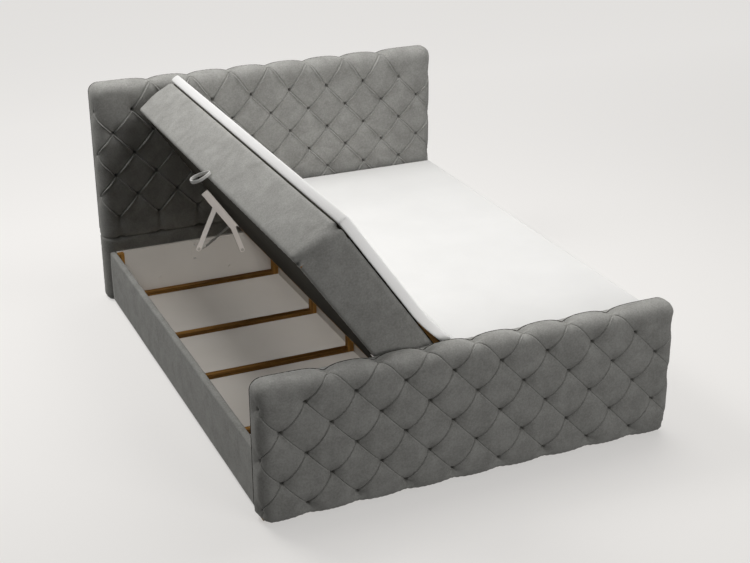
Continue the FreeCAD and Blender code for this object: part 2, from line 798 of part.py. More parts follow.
def constrain_link(sketch, arm):
    rule = Sketcher.Constraint
    sketch.addConstraint([
        rule("Coincident", 0, 3, -1, 1),
        rule("Tangent", 0, 1, 2, 1),
        rule("Tangent", 0, 2, 3, 1),
        rule("Tangent", 1, 2, 2, 2),
        rule("Tangent", 1, 1, 3, 2),
        rule("PointOnObject", 1, 3, -1),
        rule("Coincident", 4, 3, 0, 3),
        rule("Coincident", 5, 3, 1, 3),
        rule("Equal", 4, 5),
    ])
    named = {
        "length": (rule("DistanceX", 0, 3, 1, 3, value(arm + "_arm_length")), arm + "_arm_length"),
        "half_width": (rule("Radius", 0, value("arm_width") / 2), "arm_width/2"),
        "hole": (rule("Radius", 4, value("pin_radius")), "pin_radius + pin_clearance"),
    }
    for name, (constraint, expression) in named.items():
        index = sketch.addConstraint(constraint)
        sketch.renameConstraint(index, name)
        sketch.setExpression("Constraints." + name, qualified(expression))


def make_arms():
    for arm in ("short", "long"):
        body = link_bar(arm)
        x, z = LIFT[arm]["base"]
        level = FreeCAD.Rotation(ALONG, -LIFT[arm]["closed"])
        body.Placement = FreeCAD.Placement(FreeCAD.Vector(x, value(arm + "_arm_y"), z), level)
        piece = body if arm == "short" else fuse(body, open_pivot_stub())
        pair(arm + "_arms", with_foot_copy(piece), -LIFT[arm]["swing"], x, z)


def open_pivot_stub():
    """The long arm's upper rivet, which stops just short of the lid bar."""
    spot = LIFT["long"]["pin"]
    back = value("long_arm_y")
    front = value("bar_y") + value("layer_gap")
    return feature(y_rod(value("pin_radius") + value("pin_clearance"), spot, front, back))


def stud(spot, arm, start, radius):
    """A pivot stud that stands through an arm, with a flat head that keeps the arm on it."""
    far = value(arm + "_arm_y") - value("arm_thickness") - value("layer_gap")
    shank = y_rod(radius, spot, far, start)
    head = y_rod(value("pin_head_radius"), spot, far - value("pin_head_height"), far)
    return shank.fuse(head)


def hook_spot():
    """Where the spring hooks on: beside the long arm's base pivot, towards the short arm's."""
    (ax, az), (bx, bz) = LIFT["long"]["base"], LIFT["short"]["base"]
    share = value("spring_hook_offset") / math.hypot(bx - ax, bz - az)
    return ax + (bx - ax) * share, az + (bz - az) * share


def make_plates():
    x0, x1, z0, z1 = plate_corners()
    face, wall = value("plate_face_y"), value("head_wall_y")
    plate = Part.makeBox(x1 - x0, wall - face, z1 - z0, FreeCAD.Vector(x0, face, z0))
    holes = [y_rod(value("screw_radius"), spot, face, wall) for spot in plate_screw_spots()]
    plate = plate.cut(holes)
    pin = value("pin_radius")
    studs = [stud(LIFT[arm]["base"], arm, face, pin) for arm in LIFT]
    studs.append(y_rod(pin, hook_spot(), value("long_arm_y") + value("layer_gap"), face))
    pair("lift_plates", with_foot_copy(feature(plate.multiFuse(studs).removeSplitter())))
    make_plate_screws(face)


def make_plate_screws(face):
    screws = []
    for spot in plate_screw_spots():
        head = y_rod(value("screw_head_radius"), spot, face - value("screw_head_height"), face)
        screws.append(head.fuse(y_rod(value("screw_radius"), spot, face, face + value("screw_length"))))
    left = with_foot_copy(feature(Part.Compound(screws)))
    node("lift_plate_screws", group(left, mirror_across(left)))


def make_lid_bars():
    """An angle screwed under the lid, with the pin that the short arm turns on."""
    x = ("-bar_far_inset", "-bar_near_inset")
    top = "lid_bottom_z"
    web = box(x, ("bar_y - bar_thickness", "bar_y"), (top + " - bar_height", top))
    flange = box(x, ("bar_y - bar_flange", "bar_y - bar_thickness"), (top + " - bar_thickness", top))
    spot = LIFT["short"]["pin"]
    pin = y_rod(value("pin_radius"), spot, value("bar_y"), value("plate_face_y") - value("layer_gap"))
    bar = fuse(web, flange, feature(pin))
    pair("lift_bars", with_foot_copy(bar), **lid_turn)


def bend_middle(start, corner, end):
    """The middle point of the arc that rounds a corner between two equal runs."""
    chord_mid = (start + end) / 2
    half_angle = math.atan2((start - chord_mid).Length, (corner - chord_mid).Length)
    radius = (start - corner).Length * math.tan(half_angle)
    return corner + (chord_mid - corner).normalize() * (radius / math.sin(half_angle) - radius)


def wire_section(centre, across, up, radius):
    """A regular polygon with the area of the round wire, so that the wire meshes to its true volume."""
    step = 2 * math.pi / WIRE_SIDES
    reach = radius * math.sqrt(step / math.sin(step))
    angles = [step * side for side in range(WIRE_SIDES + 1)]
    corners = [centre + across * (reach * math.cos(a)) + up * (reach * math.sin(a)) for a in angles]
    return Part.makePolygon(corners)


def coil_spring(start, end):
    """A tension spring with straight ends, wound about the line between two points."""
    axis = (end - start).normalize()
    side = ALONG
    other = axis.cross(side)
    wire_r, coil_r = value("spring_wire_radius"), value("spring_coil_radius")
    lead = value("spring_end")
    first, span = start + axis * lead, (end - start).Length - 2 * lead
    pitch = span / SPRING_TURNS

    def at(turns):
        angle = 2 * math.pi * turns
        around = side * (coil_r * math.cos(angle)) + other * (coil_r * math.sin(angle))
        return first + axis * (pitch * turns) + around

    run = lead / 2
    slope = (axis * pitch + other * (2 * math.pi * coil_r)).normalize()
    head, tail = at(0), at(SPRING_TURNS)
    head_corner, tail_corner = head - slope * run, tail + slope * run
    head_run, tail_run = head_corner - axis * run, tail_corner + axis * run
    wire_end = axis * (2 * wire_r)
    edges = [Part.LineSegment(head_run - wire_end, head_run), Part.Arc(
        head_run, bend_middle(head_run, head_corner, head), head)]
    for quarter in range(4 * SPRING_TURNS):
        edges.append(Part.Arc(at(quarter / 4), at((quarter + 0.5) / 4), at((quarter + 1) / 4)))
    edges.append(Part.Arc(tail, bend_middle(tail, tail_corner, tail_run), tail_run))
    edges.append(Part.LineSegment(tail_run, tail_run + wire_end))
    path = Part.Wire([edge.toShape() for edge in edges])
    section = wire_section(head_run - wire_end, other, side, wire_r)
    solid = path.makePipeShell([section], True, False)
    points = [at(step / SPRING_STEPS) for step in range(SPRING_STEPS * SPRING_TURNS)]
    apart = min((p - q).Length for p, q in zip(points, points[SPRING_STEPS:]))
    even = solid.Volume / (math.pi * wire_r ** 2 * path.Length)
    print(f"lift spring: least gap between turns {apart - 2 * wire_r:.2f} mm, volume share {even:.3f}")
    return solid


def make_springs():
    """On the left the springs are short, with the lid up, and on the right they are drawn out."""
    y = value("plate_face_y") - value("spring_zone") / 2
    hook = hook_spot()
    start = FreeCAD.Vector(hook[0], y, hook[1])
    clear = value("pin_radius") + value("spring_wire_radius") + value("layer_gap")
    for side, key in (("left", "raised"), ("right", "pin")):
        spot = LIFT["short"][key]
        end = FreeCAD.Vector(spot[0], y, spot[1])
        along = (end - start).normalize() * clear
        both = with_foot_copy(feature(coil_spring(start + along, end - along)))
        node(side + "_lift_springs", both if side == "left" else mirror_across(both))


def write_parts():
    """Check every object, then write each piece to its own file."""
    doc.recompute()
    failed = [o.Label for o in doc.Objects if {"Invalid", "Error"} & set(o.State)]
    bad = [o.Label for o in nodes if o.Shape.isNull() or not o.Shape.isValid() or not o.Shape.Solids]
    if failed or bad:
        raise RuntimeError(f"failed objects {failed}, bad shapes {bad}")
    os.makedirs("parts", exist_ok=True)
    for obj in nodes:
        obj.Shape.exportStep(os.path.join("parts", obj.Label + ".step"))
    print(len(nodes), "pieces written")


make_headboard()
make_footboard()
make_bolts()
make_glides()
make_walls()
make_side()
make_battens()
make_lid()
make_strap()
make_topper()
make_arms()
make_plates()
make_lid_bars()
make_springs()
write_parts()
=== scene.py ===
"""Looks of a box spring bed: velvet upholstery, topper, storage box and lift fittings.

Metres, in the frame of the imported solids: +X to the right seen from the foot, +Y from foot to head.
Paired pieces are drawn on the right, where the lid is closed. The left ones are their mirror image,
turned about the lid's pole to where the raised lid stands.
"""
import json
import math

import bpy
import numpy as np
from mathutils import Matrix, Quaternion, Vector

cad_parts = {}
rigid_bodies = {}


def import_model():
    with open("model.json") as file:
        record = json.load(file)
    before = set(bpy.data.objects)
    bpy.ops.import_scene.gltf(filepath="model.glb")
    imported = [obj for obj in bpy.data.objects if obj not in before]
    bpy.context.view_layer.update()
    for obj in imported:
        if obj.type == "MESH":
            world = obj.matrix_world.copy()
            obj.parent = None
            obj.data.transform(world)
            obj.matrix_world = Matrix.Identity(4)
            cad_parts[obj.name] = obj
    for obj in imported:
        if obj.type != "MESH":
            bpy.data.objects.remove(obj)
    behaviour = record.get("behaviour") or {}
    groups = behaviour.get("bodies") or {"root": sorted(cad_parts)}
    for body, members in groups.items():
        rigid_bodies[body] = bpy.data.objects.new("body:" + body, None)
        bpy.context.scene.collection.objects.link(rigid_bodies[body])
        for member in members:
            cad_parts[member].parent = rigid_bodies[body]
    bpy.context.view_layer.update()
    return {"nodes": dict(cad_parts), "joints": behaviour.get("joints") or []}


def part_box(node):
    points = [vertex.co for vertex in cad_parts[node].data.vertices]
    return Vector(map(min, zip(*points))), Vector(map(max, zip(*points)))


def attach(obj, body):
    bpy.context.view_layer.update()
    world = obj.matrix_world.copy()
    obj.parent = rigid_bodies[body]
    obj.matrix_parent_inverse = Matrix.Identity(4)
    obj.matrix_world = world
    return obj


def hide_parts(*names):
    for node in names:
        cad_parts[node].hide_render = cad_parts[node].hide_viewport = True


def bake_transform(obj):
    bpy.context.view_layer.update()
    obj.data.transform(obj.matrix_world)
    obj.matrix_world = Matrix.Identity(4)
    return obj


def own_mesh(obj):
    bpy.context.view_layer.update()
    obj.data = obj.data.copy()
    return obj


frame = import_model()

MM = 0.001
JOINTS = {joint["name"]: joint for joint in frame["joints"]}
POLE = np.array(JOINTS["left_topper_bend"]["pos_m"])
OPEN_ANGLE = math.radians(JOINTS["left_topper_bend"]["range_deg"][1])
SIDES = ("left", "right")
rng = np.random.default_rng(11)


# Small tools


def srgb(code):
    """A hex colour as linear red, green, blue and alpha."""
    parts = [int(code[i:i + 2], 16) / 255 for i in (1, 3, 5)]
    return [c / 12.92 if c <= 0.04045 else ((c + 0.055) / 1.055) ** 2.4 for c in parts] + [1.0]


def add(tree, kind, inputs=None, stops=(), **settings):
    """Add a node: its settings, its ramp's hex stops, and each input's value or feeding socket."""
    node = tree.nodes.new(kind)
    for name, setting in settings.items():
        setattr(node, name, setting)
    if stops:
        for element, code in zip(node.color_ramp.elements, stops):
            element.color = srgb(code)
    for socket, given in (inputs or {}).items():
        if isinstance(given, bpy.types.NodeSocket):
            tree.links.new(given, node.inputs[socket])
        else:
            node.inputs[socket].default_value = given
    return node


def new_material(name):
    """An empty node material, with the object coordinates that its patterns lie on."""
    material = bpy.data.materials.new(name)
    material.use_nodes = True
    tree = material.node_tree
    tree.nodes.clear()
    return material, tree, add(tree, "ShaderNodeTexCoord").outputs["Object"]


def surface(tree, inputs):
    """The shader and the output that close a material."""
    shader = add(tree, "ShaderNodeBsdfPrincipled", inputs)
    add(tree, "ShaderNodeOutputMaterial", {"Surface": shader.outputs[0]})
    return shader


def piece(name, points, faces, material, slot=None, body=None, *stands_for):
    """A smooth mesh object with its place in its points, riding on a body instead of some solids."""
    mesh = bpy.data.meshes.new(name)
    mesh.from_pydata([tuple(p) for p in points], [], [tuple(f) for f in faces])
    mesh.validate()
    mesh.materials.append(material)
    mesh.shade_smooth()
    obj = bpy.data.objects.new(name, mesh)
    bpy.context.scene.collection.objects.link(obj)
    if body:
        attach(obj, body)
    if stands_for:
        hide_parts(*stands_for)
    return obj


def turned_over(faces):
    """The same faces, seen from their other side."""
    return [tuple(reversed(face)) for face in faces]


def grid_faces(rows, columns, loop=False):
    """Quads over a grid of points stored row by row. With loop, the last column joins the first."""
    faces = []
    for r in range(rows - 1):
        for c in range(columns if loop else columns - 1):
            n = (c + 1) % columns
            faces.append((r * columns + c, r * columns + n, (r + 1) * columns + n, (r + 1) * columns + c))
    return faces


def capped_tube_faces(rows, ring):
    """Quads round a tube stored ring by ring, and a face over each end."""
    faces = grid_faces(rows, ring, loop=True)
    return faces + [tuple(reversed(range(ring))), tuple(range((rows - 1) * ring, rows * ring))]


def tube(path, radius, sides=8):
    """Points and faces of a round wire along a path in an upright plane across the bed."""
    points, count = [], len(path)
    for i, (x, y, z) in enumerate(path):
        before, after = path[max(i - 1, 0)], path[min(i + 1, count - 1)]
        ahead = Vector(after) - Vector(before)
        side = Vector((0, 1, 0))
        up = ahead.cross(side).normalized()
        for t in np.linspace(0, 2 * math.pi, sides, endpoint=False):
            points.append(Vector((x, y, z)) + radius * (math.cos(t) * side + math.sin(t) * up))
    return points, capped_tube_faces(count, sides)


def bumps(points, spacing, count=5):
    """A smooth random field from -1 to 1 over points, with features about one spacing wide."""
    total = np.zeros(len(points))
    for _ in range(count):
        direction = rng.normal(size=points.shape[1])
        direction *= rng.uniform(0.6, 1.6) / (np.linalg.norm(direction) * spacing)
        total += np.sin(2 * math.pi * points @ direction + rng.uniform(0, 2 * math.pi))
    return total / count


def on_side(side, points, faces=()):
    """Points drawn on the closed right lid, moved to one side's lid as it stands at rest."""
    points = np.array(points, float)
    if side == "right":
        return points, list(faces)
    x, z = -points[:, 0] - POLE[0], points[:, 2] - POLE[2]
    c, s = math.cos(OPEN_ANGLE), math.sin(OPEN_ANGLE)
    turned = np.column_stack([POLE[0] + c * x + s * z, points[:, 1], POLE[2] - s * x + c * z])
    return turned, turned_over(faces)


def mirrored(side, points, faces=()):
    """Points drawn on the right of the bed's fixed base, moved to one side."""
    points = np.array(points, float)
    if side == "right":
        return points, list(faces)
    return points * [-1, 1, 1], turned_over(faces)


# Materials


def grey_velvet():
    """Cotton velvet: short dense pile, so a soft sheen at the edges and cloudy nap patches."""
    material, tree, place = new_material("grey_velvet")
    nap_patch, stroke, pile_thread = 80 * MM, 7 * MM, 1.6 * MM
    nap = add(tree, "ShaderNodeTexNoise", {"Vector": place, "Scale": 1 / nap_patch, "Detail": 4.0,
                                           "Roughness": 0.6, "Distortion": 0.5})
    strokes = add(tree, "ShaderNodeTexNoise", {"Vector": place, "Scale": 1 / stroke, "Detail": 4.0,
                                               "Roughness": 0.7})
    pile = add(tree, "ShaderNodeTexNoise", {"Vector": place, "Scale": 1 / pile_thread, "Detail": 3.0})
    mixed = add(tree, "ShaderNodeMix", {"Factor": 0.55, "A": nap.outputs["Fac"],
                                        "B": strokes.outputs["Fac"]})
    tint = add(tree, "ShaderNodeValToRGB", {"Fac": mixed.outputs[0]}, stops=("#878682", "#a3a29e"))
    tint.color_ramp.elements[0].position, tint.color_ramp.elements[1].position = 0.36, 0.64
    bump = add(tree, "ShaderNodeBump", {"Strength": 0.35, "Distance": 0.6 * MM,
                                        "Height": pile.outputs["Fac"]})
    surface(tree, {"Base Color": tint.outputs[0], "Roughness": 0.95, "Sheen Weight": 0.12,
                   "Sheen Roughness": 0.4, "Sheen Tint": srgb("#d8d8d4"), "Specular IOR Level": 0.1,
                   "Normal": bump.outputs[0]})
    return material


def white_knit():
    """Polyester knit of the topper: a matt white with a fine stitch that breaks the light a little."""
    material, tree, place = new_material("white_knit")
    stitch = 4 * MM
    loops = add(tree, "ShaderNodeTexVoronoi", {"Vector": place, "Scale": 1 / stitch})
    cloud = add(tree, "ShaderNodeTexNoise", {"Vector": place, "Scale": 1 / (180 * MM), "Detail": 3.0})
    tint = add(tree, "ShaderNodeValToRGB", {"Fac": cloud.outputs["Fac"]}, stops=("#d6d5d3", "#dfdedc"))
    bump = add(tree, "ShaderNodeBump", {"Strength": 0.25, "Distance": 0.4 * MM,
                                        "Height": loops.outputs["Distance"]})
    surface(tree, {"Base Color": tint.outputs[0], "Roughness": 0.85, "Sheen Weight": 0.1,
                   "Specular IOR Level": 0.2, "Normal": bump.outputs[0]})
    return material


def dark_lining():
    """Spunbond lining: a thin felted web, nearly black, with a small dot emboss."""
    material, tree, place = new_material("dark_lining")
    dot, web = 5 * MM, 30 * MM
    dots = add(tree, "ShaderNodeTexVoronoi", {"Vector": place, "Scale": 1 / dot, "Randomness": 0.2})
    cloud = add(tree, "ShaderNodeTexNoise", {"Vector": place, "Scale": 1 / web, "Detail": 4.0})
    tint = add(tree, "ShaderNodeValToRGB", {"Fac": cloud.outputs["Fac"]}, stops=("#26241f", "#37342d"))
    bump = add(tree, "ShaderNodeBump", {"Strength": 0.3, "Distance": 0.3 * MM,
                                        "Height": dots.outputs["Distance"]})
    surface(tree, {"Base Color": tint.outputs[0], "Roughness": 0.95, "Specular IOR Level": 0.1,
                   "Normal": bump.outputs[0]})
    return material


def stained_pine(name, along):
    """Pine stained brown: narrow darker grain along the stick, and a dull oiled surface."""
    material, tree, place = new_material(name)
    grain_width, grain_length = 7 * MM, 260 * MM
    scale = [1 / grain_width] * 3
    scale[along] = 1 / grain_length
    stretched = add(tree, "ShaderNodeMapping", {"Vector": place, "Scale": scale})
    grain = add(tree, "ShaderNodeTexNoise", {"Vector": stretched.outputs[0], "Scale": 1.0, "Detail": 6.0,
                                             "Roughness": 0.6, "Distortion": 0.4})
    tint = add(tree, "ShaderNodeValToRGB", {"Fac": grain.outputs["Fac"]}, stops=("#5f4019", "#9c7133"))
    tint.color_ramp.elements[0].position, tint.color_ramp.elements[1].position = 0.32, 0.68
    bump = add(tree, "ShaderNodeBump", {"Strength": 0.3, "Distance": 0.4 * MM,
                                        "Height": grain.outputs["Fac"]})
    surface(tree, {"Base Color": tint.outputs[0], "Roughness": 0.7, "Specular IOR Level": 0.2,
                   "Normal": bump.outputs[0]})
    return material


def white_melamine():
    """Melamine-faced chipboard: smooth warm white with a faint orange-peel press texture."""
    material, tree, place = new_material("white_melamine")
    peel, cloud_size = 3 * MM, 240 * MM
    press = add(tree, "ShaderNodeTexNoise", {"Vector": place, "Scale": 1 / peel, "Detail": 2.0})
    cloud = add(tree, "ShaderNodeTexNoise", {"Vector": place, "Scale": 1 / cloud_size, "Detail": 3.0})
    tint = add(tree, "ShaderNodeValToRGB", {"Fac": cloud.outputs["Fac"]}, stops=("#b7b1a9", "#c2bdb6"))
    bump = add(tree, "ShaderNodeBump", {"Strength": 0.12, "Distance": 0.2 * MM,
                                        "Height": press.outputs["Fac"]})
    surface(tree, {"Base Color": tint.outputs[0], "Roughness": 0.5, "Normal": bump.outputs[0]})
    return material


def powder_coated_steel():
    """Powder coat over pressed steel: warm off-white, satin, with a fine pebble."""
    material, tree, place = new_material("powder_coated_steel")
    pebble = 1.5 * MM
    grit = add(tree, "ShaderNodeTexNoise", {"Vector": place, "Scale": 1 / pebble, "Detail": 2.0})
    wear = add(tree, "ShaderNodeTexNoise", {"Vector": place, "Scale": 1 / (60 * MM), "Detail": 4.0})
    tint = add(tree, "ShaderNodeValToRGB", {"Fac": wear.outputs["Fac"]}, stops=("#e2dbd4", "#f0eae4"))
    bump = add(tree, "ShaderNodeBump", {"Strength": 0.15, "Distance": 0.1 * MM,
                                        "Height": grit.outputs["Fac"]})
    surface(tree, {"Base Color": tint.outputs[0], "Roughness": 0.42, "Normal": bump.outputs[0]})
    return material


def zinc_plated_steel():
    """Zinc plate on screws, staples and bolts: a cool grey metal with a slightly cloudy gloss."""
    material, tree, place = new_material("zinc_plated_steel")
    cloud = add(tree, "ShaderNodeTexNoise", {"Vector": place, "Scale": 1 / (8 * MM), "Detail": 3.0})
    gloss = add(tree, "ShaderNodeMapRange", {"Value": cloud.outputs["Fac"], "To Min": 0.28, "To Max": 0.46})
    surface(tree, {"Base Color": srgb("#c4c4c2"), "Metallic": 1.0, "Roughness": gloss.outputs[0]})
    return material


def cotton_webbing():
    """Flat woven tape: off-white, with a ribbed weave across its width."""
    material, tree, place = new_material("cotton_webbing")
    rib = 2.2 * MM
    weave = add(tree, "ShaderNodeTexWave", {"Vector": place, "Scale": 1 / (rib * 20), "Distortion": 0.4},
                bands_direction="DIAGONAL")
    fuzz = add(tree, "ShaderNodeTexNoise", {"Vector": place, "Scale": 1 / (4 * MM), "Detail": 3.0})
    tint = add(tree, "ShaderNodeValToRGB", {"Fac": fuzz.outputs["Fac"]}, stops=("#c9c8c5", "#e2e1de"))
    bump = add(tree, "ShaderNodeBump", {"Strength": 0.4, "Distance": 0.4 * MM,
                                        "Height": weave.outputs["Fac"]})
    surface(tree, {"Base Color": tint.outputs[0], "Roughness": 0.85, "Normal": bump.outputs[0]})
    return material


def speckled(name, dark, light, speck, roughness):
    """A plain bulk material, such as foam, chipboard or moulded plastic, with specks of its own size."""
    material, tree, place = new_material(name)
    fleck = add(tree, "ShaderNodeTexNoise", {"Vector": place, "Scale": 1 / speck, "Detail": 4.0})
    tint = add(tree, "ShaderNodeValToRGB", {"Fac": fleck.outputs["Fac"]}, stops=(dark, light))
    bump = add(tree, "ShaderNodeBump", {"Strength": 0.2, "Distance": 0.3 * MM,
                                        "Height": fleck.outputs["Fac"]})
    surface(tree, {"Base Color": tint.outputs[0], "Roughness": roughness, "Normal": bump.outputs[0]})
    return material


VELVET = grey_velvet()
KNIT = white_knit()
# The lining's near-black also colours the board seam cords, where it is painted shade.
LINING = dark_lining()
PINE_ACROSS = stained_pine("stained_pine_across", 0)
PINE_ALONG = stained_pine("stained_pine_along", 1)
PINE_UPRIGHT = stained_pine("stained_pine_upright", 2)
MELAMINE = white_melamine()
PAINTED_STEEL = powder_coated_steel()
ZINC = zinc_plated_steel()
WEBBING = cotton_webbing()
FOAM = speckled("polyurethane_foam", "#d6cfae", "#e6e0c6", 3 * MM, 0.95)
CHIPBOARD = speckled("raw_chipboard", "#8d7350", "#c2a67c", 5 * MM, 0.8)
NYLON = speckled("black_nylon", "#101010", "#1c1c1c", 2 * MM, 0.5)


# Tufted boards

# A board's fabric is worked out unrolled, as a plane of tufts and pleats, and then wrapped on the board.
# An edge's profile is its roll, the depth it wraps, the roll at the back and the hem there.

TUFT_PITCH = 192.1 * MM
TUFT_ROW = 101.2 * MM
OUTER_COLUMN = 9
# how far mesh lines lie from a pleat, closest where the fabric folds
PLEAT_STEPS = np.array([0, 0.9, 1.9, 3, 4.4, 6.4, 9.2, 13, 18, 25, 35, 50]) * MM
HOLE_SINK = 20 * MM
HOLE_RADIUS = 5.8 * MM
PUCKER_COUNT = 7
PUCKER_RISE = 0.7 * MM
PUCKER_PLACE = 20 * MM
PUCKER_WIDTH = 13 * MM
PLEAT_SINK = 5.5 * MM
RISING_PLEAT_SHARE = 0.6
PLEAT_ABOVE = 2.2 * MM
PLEAT_BELOW = 1.5 * MM
LIP_RISE = 2.6 * MM
LIP_PLACE = 4.6 * MM
LIP_WIDTH = 3 * MM
EDGE_PLEAT_SINK = 9 * MM
EDGE_PLEAT_START = 12 * MM
TOP_PLEAT_REACH = 34 * MM
TOP_PLEAT_START = 25 * MM
EDGE_TUFT_SHARE = 0.6
VELVET_PROUD = 1.5 * MM
BOARD_ROLL = 46 * MM
TOP_BACK_ROLL = 46 * MM
SIDE_BACK_ROLL = 26 * MM
BACK_HEM = 18 * MM
# where the boards' seam runs, and the near-black cord laid along it as painted shade in the seam
SEAM_FROM_BACK = 24 * MM
SEAM_FROM_FLOOR_EDGE = 20 * MM
SEAM_SHADE_CORD = 1.3 * MM
PANEL_CORNER = 30 * MM
PANEL_INSET = 34 * MM


def rolled_edge(radius, depth, back_radius, hem):
    """How far out and how far back the fabric has gone after each length past the edge's start."""
    bend = np.linspace(0, math.pi / 2, 13)
    out = list(radius * np.sin(bend))
    back = list(radius * (1 - np.cos(bend)))
    if back_radius:
        out += list(radius - back_radius * (1 - np.cos(bend)))
        back += list(depth - back_radius * (1 - np.sin(bend)))
        out.append(out[-1] - hem)
        back.append(depth)
    else:
        out.append(radius)
        back.append(depth)
    out, back = np.array(out), np.array(back)
    length = np.concatenate([[0], np.cumsum(np.hypot(np.diff(out), np.diff(back)))])
    return length, out, back


class Tufting:
    """The pattern of tufts and pleats on one board, in the plane of the unrolled fabric."""

    def __init__(self, rows, second_row_z, first_gap, sink, top_sink, lips, edge_reach):
        self.second_row_z, self.first_gap = second_row_z, first_gap
        self.depth, self.top_sink = sink, top_sink
        self.lips, self.edge_reach = lips, edge_reach
        self.rows = len(rows)
        self.tufts = {(column, row) for row, count in enumerate(rows)
                      for column in range(1 - count, count, 2)}

    def row_of(self, z):
        below = self.second_row_z - z
        return 1 + below / np.where(below > 0, TUFT_ROW, self.first_gap)

    def height_of(self, row):
        below = row - 1
        return self.second_row_z - below * np.where(below > 0, TUFT_ROW, self.first_gap)

    def lattice(self, x, z):
        """Place on the two families of pleats, which cross at whole numbers."""
        across, down = x / (TUFT_PITCH / 2), self.row_of(z)
        return (across + down) / 2, (down - across) / 2

    def plane(self, u, v):
        return (u - v) * TUFT_PITCH / 2, self.height_of(u + v)

    def is_tuft(self, u, v):
        return np.array([(int(a - b), int(a + b)) in self.tufts for a, b in zip(u, v)])

    def sink(self, x, z):
        """Depth of the fabric below the plain padded face."""
        u, v = self.lattice(x, z)
        near_u, near_v = np.round(u), np.round(v)
        du, dv = u - near_u, v - near_v
        here = self.is_tuft(near_u, near_v)
        gap = TUFT_PITCH * TUFT_ROW / math.hypot(TUFT_PITCH / 2, TUFT_ROW)
        spread = np.hypot(np.sin(math.pi * du), np.sin(math.pi * dv))
        pull = np.maximum(1 - spread, 0) ** 1.15
        away = np.hypot((du - dv) * TUFT_PITCH / 2, (du + dv) * TUFT_ROW)
        on_roll = (near_u + near_v == 0) | (np.abs(near_u - near_v) == OUTER_COLUMN)
        share = np.where(on_roll, EDGE_TUFT_SHARE, 1.0)
        total = here * share * (self.depth * pull + HOLE_SINK * np.exp(-(away / HOLE_RADIUS) ** 3))
        angle = np.arctan2((du + dv) * TUFT_ROW, (du - dv) * TUFT_PITCH / 2)
        # the puckers round each tuft start at an angle of its own
        spin = near_u * 2.3 + near_v * 3.7
        total += here * PUCKER_RISE * np.sin(PUCKER_COUNT * angle + spin) * np.exp(
            -((away - PUCKER_PLACE) / PUCKER_WIDTH) ** 2)
        inside = np.clip(OUTER_COLUMN - np.abs(u - v), 0, 1)
        folds = []
        for along, across, strength, lip, low_end, high_end in (
                (u, dv, RISING_PLEAT_SHARE, self.lips[0], (np.floor(u), near_v),
                 (np.floor(u) + 1, near_v)),
                (v, du, 1.0, self.lips[1], (near_u, np.floor(v)), (near_u, np.floor(v) + 1))):
            sewn = self.is_tuft(*low_end) & self.is_tuft(*high_end)
            folds.append(sewn * strength * self.pleat(across * gap, along - np.floor(along), lip * inside))
        total += np.where(np.abs(folds[0]) > np.abs(folds[1]), folds[0], folds[1])
        return total + self.straight_pleats(x, z)

    def pleat(self, off, share, lip_share):
        """A fold between two tufts: a narrow valley, with a lip along its lower side if it has one."""
        reach = np.where(off > 0, PLEAT_BELOW, PLEAT_ABOVE)
        fade = np.sin(math.pi * np.clip(share, 0, 1)) ** 0.4
        lip = lip_share * LIP_RISE * fade * np.exp(-((off - LIP_PLACE) / LIP_WIDTH) ** 2)
        return PLEAT_SINK * np.exp(-np.abs(off / reach) ** 1.5) - lip

    def straight_pleats(self, x, z):
        """Upright pleats above the top row, and below the last row down to the edge."""
        total = np.zeros(len(x))
        for column, row in self.tufts:
            if row not in (0, self.rows - 1):
                continue
            tuft_z = self.height_of(np.array([row]))[0]
            off = np.abs(x - column * TUFT_PITCH / 2)
            if row == 0:
                begun = np.clip((z - tuft_z) / TOP_PLEAT_START, 0, 1)
                total += begun * self.top_sink * np.exp(-(off / TOP_PLEAT_REACH) ** 1.1)
            else:
                begun = np.clip((tuft_z - z) / EDGE_PLEAT_START, 0, 1)
                total += begun * EDGE_PLEAT_SINK * np.exp(-(off / self.edge_reach) ** 1.2)
        return total


